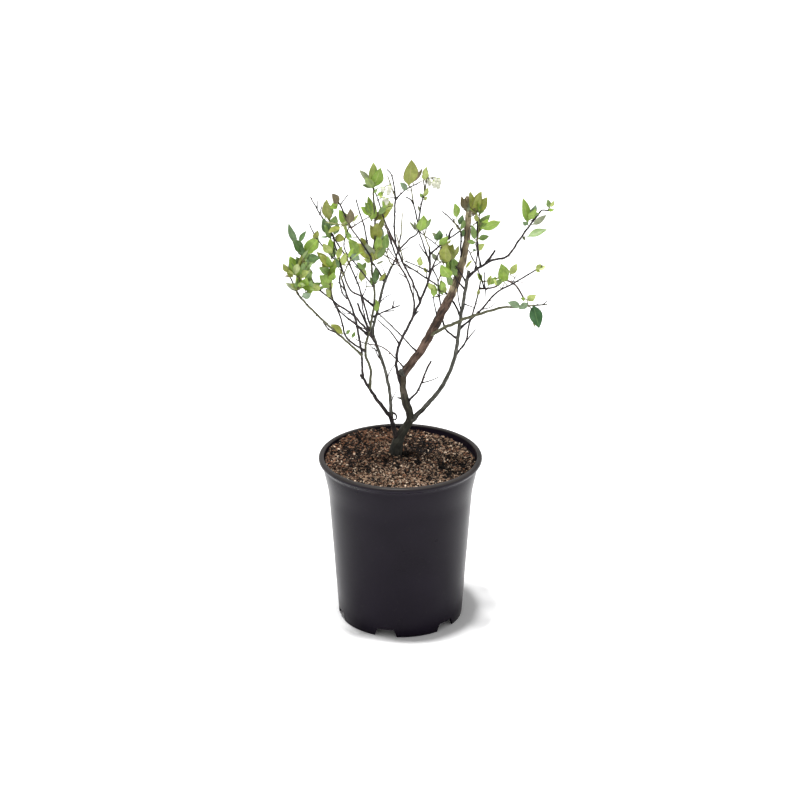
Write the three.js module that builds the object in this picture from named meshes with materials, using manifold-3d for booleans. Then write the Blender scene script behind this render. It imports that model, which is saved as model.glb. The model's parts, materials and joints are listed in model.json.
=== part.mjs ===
// A young blueberry bush in spring, in flower, growing in a round plastic nursery pot.
//
// Millimetres, +Z up. The pot stands on the plane z = 0 and the front of the plant faces -Y.
// The plant is laid out from the pot's own axis, and the whole group is then moved sideways
// so that the origin lies on that plane, under the middle of the plant's box.

import * as THREE from "three";
import { mergeVertices } from "three/addons/utils/BufferGeometryUtils.js";
import Module from "manifold-3d";

const wasm = await Module();
wasm.setup();

// ---- Driving dimensions -------------------------------------------------------------------

const GAP = 0.3; // clearance between neighbouring solids

// The pot's wall as [outer radius, height]: a straight taper, and a collar that flares to its lip.
const POT_WALL = [
  [78.5, 12],
  [88.7, 163],
  [89.4, 170],
  [91.3, 176.5],
  [92.9, 183],
  [96, 203.5],
];
const POT_HEIGHT = 213;
const POT_SIDES = 40;
const WALL = 2.4; // thickness of the pot's wall
const LIP = { radius: 101, bottom: 204.5, round: 2, inner: 94.5 };
const FOOT = { radius: 77.7, base: 10 }; // the base plate is raised on a skirt
const NOTCH = { count: 6, height: 10.4, bottom: 29, top: 22.5, first: -13.7 }; // first in degrees
const DRAIN = { count: 6, radius: 5, ring: 52, sides: 12 }; // holes in the base plate

const SOIL = { level: 207, edge: 203, flat: 66 }; // flat is the radius of its level middle

const FOOT_OF_PLANT = [-7, 18, SOIL.level + GAP]; // the stems come up behind the pot's axis

const RING_STEP = 13; // distance between a limb's rings
const LIMB_SIDES = 5; // the trunk has more
const LEAST_LEFT = 0.8; // share of a limb that a cut for its neighbours may leave
// Radii at a mass's stem and its shoots, and how far the stem leads straight on from its limb.
const TWIG = { sides: 3, root: 0.95, tip: 0.65, lead: 2 };
const LEAF = { width: 0.4, widest: 0.46, thick: 0.8, fold: 0.1, sunk: 0.4 };
const BELL = { length: 8, radius: 2.9, stalk: 4 };
const LIMB_ROOM = 1.2; // what leaves keep from limbs
const MASS_ROOM = 1; // what leaves keep from the edge of their own space
const GOLDEN_TURN = THREE.MathUtils.degToRad(137.5); // from one shoot or leaf to the next

// ---- Limbs --------------------------------------------------------------------------------
// A limb grows from a place on its parent in stretches, each [right, back, up]. The place is
// counted in the parent's stretches, so 1.8 is four fifths of the way along its second one.
// thick holds diameters, spread evenly from the limb's foot to its tip.

const LIMBS = [
  {
    name: "trunk",
    thick: [19, 12, 9, 10.3, 7.8, 9.6, 10, 11, 9.6, 8.2, 7.1, 6],
    sides: 8,
    grows: [
      [7, -1, 24], [12, -1, 24], [-5, -1, 23], [-4, -1, 24], [2, -2, 18], [19, -4, 30],
      [21, -5, 40], [20, -6, 45], [12, -5, 49], [3, -3, 44], [-1, -1, 24],
    ],
  },
  {
    name: "right_stem",
    from: ["trunk", 1.85],
    thick: [7, 5.6, 4.8, 4.4, 4],
    grows: [[10, -3, 10], [29, -10, 39], [16, -10, 42], [8, -12, 59], [9, -11, 62]],
  },
  {
    name: "left_stem",
    from: ["trunk", 0.55],
    thick: [5.5, 2.6],
    grows: [[-7, -6, 36], [-14, -10, 27], [-12, -10, 24], [-12, -9, 21]],
  },
  {
    name: "left_inner_stem",
    from: ["left_stem", 0.95],
    thick: [4.2, 2.6],
    grows: [
      [-1, 10, 24], [-3, 10, 29], [-13, 12, 34], [-6, 6, 16], [5, 6, 17], [9, 12, 35],
      [10, 8, 25],
    ],
  },
  {
    name: "left_green_stem",
    from: ["left_stem", 2.98],
    thick: [3.2, 2],
    grows: [
      [0, 3, 20], [-6, 3, 28], [8, 4, 31], [4, 2, 36], [-2, 0, 40], [3, -4, 45], [-3, -8, 45],
    ],
  },
  {
    name: "left_dark_stem",
    from: ["left_stem", 3.75],
    thick: [2.8, 1.9],
    grows: [[1, -11, 41], [-9, -18, 52], [-9, -12, 28], [-6, -10, 25]],
  },
  {
    name: "centre_stem",
    from: ["trunk", 3.5],
    thick: [3.6, 2.2],
    grows: [
      [-8, -5, 30], [1, -8, 32], [12, -10, 36], [14, -12, 37], [10, -10, 32], [1, -10, 37],
    ],
  },
  {
    name: "far_left_bough",
    from: ["left_dark_stem", 0.95],
    thick: [2.6, 1.8],
    grows: [[-23, -17, 25], [-21, -16, 28], [-21, -14, 27], [-9, -6, 16]],
  },
  {
    name: "left_bough",
    from: ["left_inner_stem", 3.1],
    thick: [2.6, 1.8],
    grows: [[-24, 14, 16], [-24, 14, 14], [-21, 12, 14]],
  },
  {
    name: "left_low_bough",
    from: ["left_green_stem", 1.95],
    thick: [2.4, 1.7],
    grows: [[-19, -10, 26], [-13, -8, 17], [-10, -8, 31]],
  },
  {
    name: "upper_left_bough",
    from: ["left_green_stem", 3.65],
    thick: [2.4, 1.6],
    grows: [[-16, 9, 12], [-13, 10, 4], [-10, 14, 27], [-12, 14, 35]],
  },
  {
    name: "back_left_bough",
    from: ["left_inner_stem", 3.5],
    thick: [2.4, 1.7],
    grows: [[-14, 14, 24], [-11, 16, 26], [-12, 12, 26]],
  },
  {
    name: "inner_left_bough",
    from: ["left_green_stem", 5.2],
    thick: [2, 1.5],
    grows: [[-15, -12, 25], [-12, -12, 23]],
  },
  {
    name: "back_bough",
    from: ["left_inner_stem", 5.5],
    thick: [2.2, 1.6],
    grows: [[8, 16, 22], [12, 14, 24], [6, 12, 24]],
  },
  {
    name: "centre_front_bough",
    from: ["centre_stem", 3.95],
    thick: [2.4, 1.7],
    grows: [[-11, -7, 28], [-13, -8, 27], [-6, -8, 30], [0, -6, 30], [1, -4, 20]],
  },
  {
    name: "centre_left_bough",
    from: ["centre_stem", 3.4],
    thick: [2.4, 1.6],
    grows: [[1, 11, 16], [-8, 12, 21], [-11, 12, 24], [-12, 12, 25]],
  },
  {
    name: "centre_right_bough",
    from: ["centre_stem", 5.8],
    thick: [2, 1.6],
    grows: [[12, 4, 9], [20, 10, 13]],
  },
  {
    name: "top_centre_bough",
    from: ["centre_front_bough", 2.1],
    thick: [2, 1.5],
    grows: [[13, 7, 20], [10, 6, 13], [-7, 6, 29]],
  },
  {
    name: "top_right_bough",
    from: ["top_centre_bough", 2.0],
    thick: [1.9, 1.5],
    grows: [[4, 6, 20], [6, 6, 22]],
  },
  {
    name: "crossing_bough",
    from: ["right_stem", 4.0],
    thick: [2.4, 1.6],
    grows: [[-12, 24, 14], [-16, 20, 13], [-23, 18, 10], [-24, 16, 10]],
  },
  {
    name: "behind_bough",
    from: ["right_stem", 3.5],
    thick: [2.4, 1.6],
    grows: [[-14, 18, 7], [-6, 22, 18], [-3, 20, 24]],
  },
  {
    name: "arching_bough",
    from: ["trunk", 6.5],
    thick: [4, 2.2],
    grows: [[26, -30, 26], [30, -22, 21], [28, -14, 13], [12, -4, 3]],
  },
  {
    name: "right_low_bough",
    from: ["right_stem", 3.72],
    thick: [2.4, 1.6],
    grows: [[21, 13, 15], [21, 14, 20], [24, 16, 8], [24, 12, 11]],
  },
  {
    name: "right_inner_bough",
    from: ["right_stem", 3.08],
    thick: [2.3, 1.6],
    grows: [[11, 13, 13], [6, 14, 14], [9, 18, 26], [8, 12, 21]],
  },
  {
    name: "right_bough",
    from: ["right_stem", 4.88],
    thick: [3, 1.9],
    grows: [[13, -12, 18], [13, -10, 11], [18, -13, 10], [10, -10, 18], [15, -13, 29]],
  },
  {
    name: "right_up_bough",
    from: ["right_bough", 1.0],
    thick: [2, 1.6],
    grows: [[-4, -6, 30]],
  },
  {
    name: "low_twig",
    from: ["trunk", 2.9],
    thick: [1.9, 1.4],
    grows: [[13, -12, 23], [9, -12, 30], [7, -6, 15]],
  },
];

// ---- Masses of foliage --------------------------------------------------------------------
// A mass carries on from its limb's tip along aim, [right, back, up]. It bears shoots, each up
// to shoot long, with leaves of up to leaf long, and bells is its number of hanging flowers.
// lift turns shoots and leaves upwards, and a negative one lets them hang.

const USUAL = { shoots: 4, shoot: 15, leaves: 3, leaf: 22, lift: 0.4, spread: 62, bells: 0 };

const MASSES = [
  { name: "top_left_foliage", limb: "left_green_stem", aim: [0, 1, 9], seed: 3, shoots: 3,
    shoot: 9, leaf: 28, bells: 2 },
  { name: "top_front_foliage", limb: "centre_front_bough", aim: [-9, -6, 30], seed: 12,
    leaf: 15, shoot: 10, leaves: 2, bells: 2 },
  { name: "top_centre_foliage", limb: "top_centre_bough", aim: [-3, 1, 20], seed: 7, leaf: 31,
    shoots: 3, shoot: 7, lift: 0.8 },
  { name: "top_right_foliage", limb: "top_right_bough", aim: [3, 2, 18], seed: 21, leaf: 14,
    shoot: 9, leaves: 2, bells: 3 },
  { name: "trunk_top_foliage", limb: "trunk", side: 9.6, aim: [14, -2, 8], seed: 5 },
  { name: "right_up_foliage", limb: "right_up_bough", aim: [2, -4, 28], seed: 31, shoots: 5 },
  { name: "far_right_foliage", limb: "right_bough", aim: [9, -4, 13], seed: 14,
    spread: 75, leaf: 24 },
  { name: "right_tip_foliage", limb: "right_low_bough", aim: [9, 3, 6], seed: 18, shoots: 3,
    shoot: 8, leaf: 11 },
  { name: "right_mid_foliage", limb: "right_inner_bough", aim: [26, 6, 6], seed: 9 },
  { name: "arching_foliage", limb: "arching_bough", aim: [26, -8, 5], seed: 11, shoots: 3,
    shoot: 10, leaf: 29, lift: -0.5 },
  { name: "centre_right_foliage", limb: "centre_right_bough", aim: [-8, -8, 20], seed: 2,
    leaf: 18 },
  { name: "centre_foliage", limb: "centre_stem", aim: [-8, -8, 26], seed: 6, leaf: 17 },
  { name: "centre_back_foliage", limb: "behind_bough", aim: [8, 8, 30], seed: 8, shoots: 5 },
  { name: "crossing_foliage", limb: "crossing_bough", aim: [-10, 6, 36], seed: 15, leaf: 20 },
  { name: "centre_left_foliage", limb: "centre_left_bough", aim: [-7, 10, 24], seed: 16,
    leaf: 20 },
  { name: "inner_back_foliage", limb: "left_inner_stem", aim: [-8, 8, 20], seed: 17, leaf: 20 },
  { name: "back_foliage", limb: "back_bough", aim: [2, 10, 26], seed: 19, leaf: 20 },
  { name: "back_left_foliage", limb: "back_left_bough", aim: [2, 8, 24], seed: 20 },
  { name: "left_foliage", limb: "left_bough", aim: [-17, 10, 18], seed: 22, shoots: 5 },
  { name: "upper_left_foliage", limb: "upper_left_bough", aim: [-13, 9, 22], seed: 23 },
  { name: "inner_left_foliage", limb: "inner_left_bough", aim: [-8, -9, 18], seed: 24 },
  { name: "left_low_foliage", limb: "left_low_bough", aim: [-2, -6, 24], seed: 25, leaf: 20 },
  { name: "far_left_foliage", limb: "far_left_bough", aim: [6, -8, 40], seed: 26, shoots: 6 },
  { name: "left_dark_foliage", limb: "left_dark_stem", aim: [8, -8, 22], seed: 27 },
];

// ---- Materials ----------------------------------------------------------------------------

const PLASTIC = { color: 0x26262a, roughness: 0.42, metalness: 0 };
const BARK_SOIL = { color: 0x5b3e2c, roughness: 0.95, metalness: 0 };
const GREY_BARK = { color: 0x5f5a4a, roughness: 0.85, metalness: 0 };
const DARK_BARK = { color: 0x4a3a3a, roughness: 0.8, metalness: 0 };
const GREEN_BARK = { color: 0x6f7346, roughness: 0.7, metalness: 0 };
const LEAVES = { color: 0x86ab45, roughness: 0.6, metalness: 0 };
const GREEN_LIMBS = ["left_green_stem", "arching_bough"];
const GREY_LIMBS = ["trunk", "right_stem"];

function limbFinish(name) {
  if (GREEN_LIMBS.includes(name)) return GREEN_BARK;
  return GREY_LIMBS.includes(name) ? GREY_BARK : DARK_BARK;
}

// ---- Helpers ------------------------------------------------------------------------------

// Random numbers from 0 to 1 that are the same on every run.
function seeded(seed) {
  let state = seed * 7919 + 17;
  return () => {
    state = (state * 48271) % 2147483647;
    return state / 2147483647;
  };
}

function vector([x, y, z]) {
  return new THREE.Vector3(x, y, z);
}

function solidOf(geometry) {
  const bare = geometry.clone();
  bare.deleteAttribute("normal");
  bare.deleteAttribute("uv");
  const merged = mergeVertices(bare, 1e-4);
  const mesh = new wasm.Mesh({
    numProp: 3,
    vertProperties: merged.attributes.position.array,
    triVerts: new Uint32Array(merged.index.array),
  });
  return new wasm.Manifold(mesh);
}

function geometryOf(solid) {
  const mesh = solid.getMesh();
  const geometry = new THREE.BufferGeometry();
  geometry.setAttribute("position", new THREE.BufferAttribute(mesh.vertProperties, 3));
  geometry.setIndex(new THREE.BufferAttribute(mesh.triVerts, 1));
  geometry.computeVertexNormals();
  return geometry;
}

function namedMesh(name, geometry, finish) {
  const mesh = new THREE.Mesh(geometry, new THREE.MeshStandardMaterial(finish));
  mesh.name = name;
  return mesh;
}

// A closed geometry from corner points and faces that list them anticlockwise from outside.
function facetedBody(points, faces) {
  const geometry = new THREE.BufferGeometry();
  const position = new Float32Array(points.flatMap((p) => p.toArray()));
  geometry.setAttribute("position", new THREE.BufferAttribute(position, 3));
  geometry.setIndex(faces.flat());
  return geometry;
}

// Two unit vectors square to a direction and to each other.
function squareTo(direction) {
  const guide = Math.abs(direction.z) < 0.9 ? vector([0, 0, 1]) : vector([1, 0, 0]);
  const side = new THREE.Vector3().crossVectors(direction, guide).normalize();
  return [side, new THREE.Vector3().crossVectors(direction, side).normalize()];
}

// A round body along centres, with flat ends. Each ring keeps square to the way it points,
// and its corners follow on from those of the ring before, so the body doesn't twist.
function taperedTube(centres, radii, sides, levelFoot = false) {
  const points = [];
  const faces = [];
  const last = centres.length - 1;
  let side = null;
  centres.forEach((centre, i) => {
    const before = centres[Math.max(i - 1, 0)];
    const after = centres[Math.min(i + 1, last)];
    const ahead = new THREE.Vector3().subVectors(after, before).normalize();
    if (levelFoot && i === 0) ahead.set(0, 0, 1);
    side ??= squareTo(ahead)[0];
    side = side.clone().addScaledVector(ahead, -side.dot(ahead)).normalize();
    const other = new THREE.Vector3().crossVectors(ahead, side);
    for (let k = 0; k < sides; k += 1) {
      const turn = (2 * Math.PI * k) / sides;
      const corner = centre.clone();
      corner.addScaledVector(side, radii[i] * Math.cos(turn));
      corner.addScaledVector(other, radii[i] * Math.sin(turn));
      points.push(corner);
    }
  });
  for (let i = 0; i < last; i += 1) {
    for (let k = 0; k < sides; k += 1) {
      const a = i * sides + k;
      const b = i * sides + ((k + 1) % sides);
      faces.push([a, b, b + sides], [a, b + sides, a + sides]);
    }
  }
  for (let k = 1; k < sides - 1; k += 1) {
    faces.push([0, k + 1, k], [last * sides, last * sides + k, last * sides + k + 1]);
  }
  return facetedBody(points, faces);
}

// ---- Pot and soil -------------------------------------------------------------------------

function turned(profile) {
  const outline = profile.map(([radius, height]) => new THREE.Vector2(radius, height));
  return new THREE.LatheGeometry(outline, POT_SIDES).rotateX(Math.PI / 2);
}

// The inner radius of the pot's wall at a height between its base plate and its lip.
function innerRadius(height) {
  const above = POT_WALL.findIndex(([, z]) => z >= height);
  const [r0, z0] = POT_WALL[above - 1];
  const [r1, z1] = POT_WALL[above];
  return THREE.MathUtils.mapLinear(height, z0, z1, r0, r1) - WALL;
}

function makePot() {
  const floor = FOOT.base + WALL;
  const profile = [
    [0, FOOT.base],
    [POT_WALL[0][0] - WALL, FOOT.base],
    [FOOT.radius - WALL, 0],
    [FOOT.radius, 0],
    ...POT_WALL,
    [LIP.radius - 1, LIP.bottom],
    [LIP.radius, LIP.bottom + LIP.round],
    [LIP.radius, POT_HEIGHT - LIP.round],
    [LIP.radius - LIP.round, POT_HEIGHT],
    [LIP.inner, POT_HEIGHT],
    ...POT_WALL.slice(1).reverse().map(([radius, height]) => [radius - WALL, height]),
    [innerRadius(floor), floor],
    [0, floor],
  ];
  let pot = solidOf(turned(profile));
  const outline = new THREE.Shape([
    new THREE.Vector2(-NOTCH.bottom / 2, -1),
    new THREE.Vector2(NOTCH.bottom / 2, -1),
    new THREE.Vector2(NOTCH.top / 2, NOTCH.height),
    new THREE.Vector2(-NOTCH.top / 2, NOTCH.height),
  ]);
  const reach = { from: POT_WALL[0][0] - 3 * WALL, through: 6 * WALL };
  for (let k = 0; k < NOTCH.count; k += 1) {
    const turn = THREE.MathUtils.degToRad(NOTCH.first + (360 * k) / NOTCH.count);
    const settings = { depth: reach.through, bevelEnabled: false };
    const notch = new THREE.ExtrudeGeometry(outline, settings);
    notch.translate(0, 0, reach.from).rotateX(Math.PI / 2).rotateZ(turn);
    pot = pot.subtract(solidOf(notch));
  }
  for (let k = 0; k < DRAIN.count; k += 1) {
    const turn = THREE.MathUtils.degToRad(NOTCH.first + (360 * (k + 0.5)) / DRAIN.count);
    const hole = new THREE.CylinderGeometry(DRAIN.radius, DRAIN.radius, 4 * WALL, DRAIN.sides);
    hole.rotateX(Math.PI / 2).translate(0, -DRAIN.ring, floor).rotateZ(turn);
    pot = pot.subtract(solidOf(hole));
  }
  return namedMesh("pot", geometryOf(pot), PLASTIC);
}

function makeSoil() {
  const bottom = FOOT.base + WALL + GAP;
  const side = POT_WALL.filter(([, z]) => z > bottom && z < SOIL.edge);
  const profile = [
    [0, bottom],
    [innerRadius(bottom) - GAP, bottom],
    ...side.map(([, z]) => [innerRadius(z) - GAP, z]),
    [innerRadius(SOIL.edge) - GAP, SOIL.edge],
    [SOIL.flat, SOIL.level],
    [0, SOIL.level],
  ];
  return namedMesh("soil", geometryOf(solidOf(turned(profile))), BARK_SOIL);
}

// ---- Limbs --------------------------------------------------------------------------------

function thicknessAt(limb, share) {
  const place = share * (limb.thick.length - 1);
  const i = Math.min(Math.floor(place), limb.thick.length - 2);
  return THREE.MathUtils.lerp(limb.thick[i], limb.thick[i + 1], place - i);
}

// Adds each limb's curve, centres and radii to it.
function layOutLimbs() {
  const byName = new Map();
  for (const limb of LIMBS) {
    let point = vector(FOOT_OF_PLANT);
    if (limb.from) {
      const parent = byName.get(limb.from[0]);
      point = parent.curve.getPoint(limb.from[1] / parent.grows.length);
    }
    const stops = [point];
    for (const stretch of limb.grows) {
      point = point.clone().add(vector(stretch));
      stops.push(point);
    }
    limb.curve = new THREE.CatmullRomCurve3(stops, false, "catmullrom", 0.5);
    const rings = Math.max(2, Math.round(limb.curve.getLength() / RING_STEP));
    const shares = Array.from({ length: rings + 1 }, (_, i) => i / rings);
    limb.centres = shares.map((share) => limb.curve.getPoint(share));
    limb.radii = shares.map((share) => thicknessAt(limb, share) / 2);
    byName.set(limb.name, limb);
  }
  return byName;
}

// The largest of the separate bodies that a solid falls into.
function mainBody(solid) {
  return solid.decompose().reduce((main, body) => (body.volume() > main.volume() ? body : main));
}

// A limb is cut clear of every limb before it, grown by the gap, and its main body is kept.
function makeLimbs() {
  const grown = [];
  return LIMBS.map((limb) => {
    const sides = limb.sides ?? LIMB_SIDES;
    const whole = solidOf(taperedTube(limb.centres, limb.radii, sides, !limb.from));
    const body = mainBody(grown.reduce((solid, other) => solid.subtract(other), whole));
    if (body.volume() < LEAST_LEFT * whole.volume()) throw new Error(`${limb.name} is cut through`);
    const widerRadii = limb.radii.map((radius) => radius + GAP);
    grown.push(solidOf(taperedTube(limb.centres, widerRadii, sides, !limb.from)));
    return namedMesh(limb.name, geometryOf(body), limbFinish(limb.name));
  });
}

// ---- Foliage ------------------------------------------------------------------------------

// Adds to each mass where its stem starts, turns and ends. It leads straight on from its limb's
// tip, or square out of the limb's side at the place that side counts along its stretches.
function layOutMasses(byName) {
  for (const mass of MASSES) {
    Object.assign(mass, { ...USUAL, ...mass });
    const limb = byName.get(mass.limb);
    const aim = vector(mass.aim);
    const atTip = mass.side === undefined;
    const share = atTip ? 1 : mass.side / limb.grows.length;
    const place = limb.curve.getPoint(share);
    const heading = atTip ? limb.curve.getTangent(1) : aim.clone().setZ(0).normalize();
    const clear = atTip ? GAP : thicknessAt(limb, share) / 2 + GAP;
    mass.start = place.clone().addScaledVector(heading, clear);
    mass.turn = mass.start.clone().addScaledVector(heading, TWIG.lead);
    mass.end = place.clone().add(aim);
  }
}

function distanceToSegment(point, from, to) {
  const along = new THREE.Vector3().subVectors(to, from);
  const offset = new THREE.Vector3().subVectors(point, from);
  const share = THREE.MathUtils.clamp(offset.dot(along) / along.lengthSq(), 0, 1);
  return offset.addScaledVector(along, -share).length();
}

// A mass's space is what lies nearer to its own stem than to any other mass's.
function inOwnSpace(point, mass) {
  const own = distanceToSegment(point, mass.start, mass.end);
  return MASSES.every((other) => {
    const away = distanceToSegment(point, other.start, other.end);
    return other === mass || away > own + 2 * MASS_ROOM;
  });
}

function clearOfLimbs(point) {
  return LIMBS.every((limb) =>
    limb.centres.every((centre, i) => {
      if (i === 0) return true;
      const room = Math.max(limb.radii[i], limb.radii[i - 1]) + LIMB_ROOM;
      return distanceToSegment(point, limb.centres[i - 1], centre) > room;
    }),
  );
}

function isFree(points, mass) {
  return points.every((point) => inOwnSpace(point, mass) && clearOfLimbs(point));
}

// The direction of a shoot or leaf that leaves an axis: turned about it, spread from it, lifted.
function branching(axis, turn, spread, lift) {
  const [side, other] = squareTo(axis);
  const out = axis.clone().multiplyScalar(Math.cos(spread));
  out.addScaledVector(side, Math.sin(spread) * Math.cos(turn));
  out.addScaledVector(other, Math.sin(spread) * Math.sin(turn));
  out.z += lift;
  return out.normalize();
}

// A leaf's outline: its root, its tip and its two edges, and its midrib's upper and lower line.
function leafPoints(root, ahead, roll, length) {
  const [side, other] = squareTo(ahead);
  const across = side.multiplyScalar(Math.cos(roll)).addScaledVector(other, Math.sin(roll));
  const face = new THREE.Vector3().crossVectors(ahead, across);
  const middle = root.clone().addScaledVector(ahead, length * LEAF.widest);
  const half = (length * LEAF.width) / 2;
  const sunk = length * LEAF.width * LEAF.fold;
  return [
    root,
    root.clone().addScaledVector(ahead, length),
    middle.clone().addScaledVector(across, half),
    middle.clone().addScaledVector(across, -half),
    middle.clone().addScaledVector(face, LEAF.thick / 2 - sunk),
    middle.clone().addScaledVector(face, -LEAF.thick / 2 - sunk),
  ];
}

const LEAF_FACES = [
  [0, 4, 2], [2, 4, 1], [1, 4, 3], [3, 4, 0], [0, 2, 5], [2, 1, 5], [1, 3, 5], [3, 0, 5],
];

// A hanging bell on its stalk, which starts inside the twig.
function bellBodies(root, outward) {
  const neck = root.clone().addScaledVector(outward, BELL.stalk);
  const mouth = neck.clone().add(new THREE.Vector3(0, 0, -BELL.length));
  const shares = [0, 0.5, 1];
  const widths = [0.4, 1, 0.7];
  const centres = shares.map((share) => neck.clone().lerp(mouth, share));
  const radii = widths.map((width) => width * BELL.radius);
  const stalkEnd = neck.clone().add(new THREE.Vector3(0, 0, -1));
  return [
    taperedTube([root, stalkEnd], [TWIG.tip, TWIG.tip], TWIG.sides),
    taperedTube(centres, radii, 5),
  ];
}

// Twigs that branch from the mass's one stem by a seeded rule, each with its leaves and bells.
function massBodies(mass) {
  const draw = seeded(mass.seed);
  const stem = new THREE.Vector3().subVectors(mass.end, mass.start);
  const axis = stem.clone().normalize();
  const stemRadii = [TWIG.root, TWIG.root, TWIG.tip];
  const bodies = [taperedTube([mass.start, mass.turn, mass.end], stemRadii, TWIG.sides)];
  const turnAtFoot = 2 * Math.PI * draw();
  for (let k = 0; k < mass.shoots; k += 1) {
    const along = (k + 1) / mass.shoots;
    const turn = turnAtFoot + k * GOLDEN_TURN;
    const opening = mass.spread * (0.7 + 0.5 * draw()) * (1.35 - along);
    const spread = THREE.MathUtils.degToRad(opening);
    const length = mass.shoot * (0.65 + 0.5 * draw());
    const heading = branching(axis, turn, spread, 0.4 * mass.lift);
    const foot = mass.start.clone().addScaledVector(stem, along * 0.97);
    const tip = foot.clone().addScaledVector(heading, length);
    const middle = foot.clone().lerp(tip, 0.5);
    const leafTurn = 2 * Math.PI * draw();
    const grows = isFree([middle, tip], mass);
    if (grows) bodies.push(taperedTube([foot, tip], [TWIG.tip, TWIG.tip], TWIG.sides));
    for (let j = 0; j < mass.leaves; j += 1) {
      const place = foot.clone().lerp(tip, 1 - (0.6 * j) / mass.leaves);
      const leafSpread = THREE.MathUtils.degToRad(j === 0 ? 14 : 32 + 26 * draw());
      const ahead = branching(heading, leafTurn + j * GOLDEN_TURN, leafSpread, 0.5 * mass.lift);
      const roll = Math.PI * draw();
      const size = mass.leaf * (0.62 + 0.42 * draw());
      const root = place.addScaledVector(ahead, -LEAF.sunk);
      const points = leafPoints(root, ahead, roll, size);
      if (grows && isFree(points.slice(1), mass)) bodies.push(facetedBody(points, LEAF_FACES));
    }
  }
  for (let k = 0; k < mass.bells; k += 1) {
    const place = mass.start.clone().addScaledVector(stem, 0.45 + (0.5 * k) / mass.bells);
    const outward = branching(axis, 2.4 * k + draw(), Math.PI / 2, -0.1);
    const neck = place.clone().addScaledVector(outward, BELL.stalk + BELL.radius);
    const mouth = neck.clone().add(new THREE.Vector3(0, 0, -BELL.length));
    if (isFree([neck, mouth], mass)) bodies.push(...bellBodies(place, outward));
  }
  return bodies;
}

function makeMasses() {
  return MASSES.map((mass) => {
    const solids = massBodies(mass).map(solidOf);
    const joined = solids.reduce((whole, piece) => whole.add(piece));
    return namedMesh(mass.name, geometryOf(mainBody(joined)), LEAVES);
  });
}

// ---- The plant in its pot -----------------------------------------------------------------

const byName = layOutLimbs();
layOutMasses(byName);

const plant = new THREE.Group();
plant.add(makePot(), makeSoil(), ...makeLimbs(), ...makeMasses());

const box = new THREE.Box3().setFromObject(plant);
const middle = box.getCenter(new THREE.Vector3());
plant.position.set(-middle.x, -middle.y, 0);

export default plant;
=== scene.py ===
"""The looks of a young blueberry bush in its pot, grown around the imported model.

Lengths are millimetres from the pot's own axis, as in the part's source, until placed() turns
them into metres in the row's frame. Every random draw is seeded.
"""

import json
import math

import bpy
import numpy as np
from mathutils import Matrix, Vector, noise


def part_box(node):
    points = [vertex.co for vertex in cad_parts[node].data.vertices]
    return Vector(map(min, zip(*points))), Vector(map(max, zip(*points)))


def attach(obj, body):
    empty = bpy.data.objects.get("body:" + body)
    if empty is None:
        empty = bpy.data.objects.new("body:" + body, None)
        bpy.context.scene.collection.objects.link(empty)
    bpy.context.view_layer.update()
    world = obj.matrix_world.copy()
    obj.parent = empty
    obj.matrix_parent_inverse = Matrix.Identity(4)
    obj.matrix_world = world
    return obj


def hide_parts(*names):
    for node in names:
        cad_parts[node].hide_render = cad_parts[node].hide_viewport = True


# ---- Sizes shared with the solids ------------------------------------------------------------

MM = 0.001
GAP = 0.3
POT_HEIGHT = 213
WALL = 2.4
LIP = {"radius": 101, "inner": 94.5, "under": [98.4, 206.2], "side": [100.4, 208],
       "edge": 209.8, "round": 2.4, "inner_round": 1.2, "inner_foot": 206}
FOOT = {"radius": 77.7, "base": 10, "round": 1.6, "rim_round": 1}
NOTCH = {"count": 6, "height": 10.4, "bottom": 29, "top": 22.5, "first": -13.7, "corner": 1.5,
         "outward": 8, "inward": 7}
DRAIN = {"count": 6, "radius": 5, "ring": 52, "below": 4, "above": 8, "sides": 24}
SOIL = {"level": 207, "edge": 203}
FOOT_OF_PLANT = [-7, 18, 207.3]
RING_STEP = 13
TWIG = {"root": 0.95, "tip": 0.65, "lead": 2, "swollen": 1.25, "sides": 7}
LEAF = {"width": 0.4, "widest": 0.46, "thick": 0.8, "fold": 0.1, "sunk": 0.4}
BELL = {"length": 8, "radius": 2.9, "stalk": 4, "stalk_foot": 0.45, "stalk_neck": 0.5,
        "crown": 0.16, "sides": 12, "forward": 2}
LIMB_ROOM = 1.2
MASS_ROOM = 1
GOLDEN_TURN = math.radians(137.5)
GOLDEN_SHARE = 0.61803
CURVE = np.linspace(0, 1, 201)  # the shares of a limb at which its length is measured
HEADING_OVER = 1e-3  # the share of a limb on each side over which its heading is taken
# The source's generator of random numbers.
GENERATOR = {"seed_times": 7919, "seed_plus": 17, "times": 48271, "limit": 2147483647}

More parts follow.
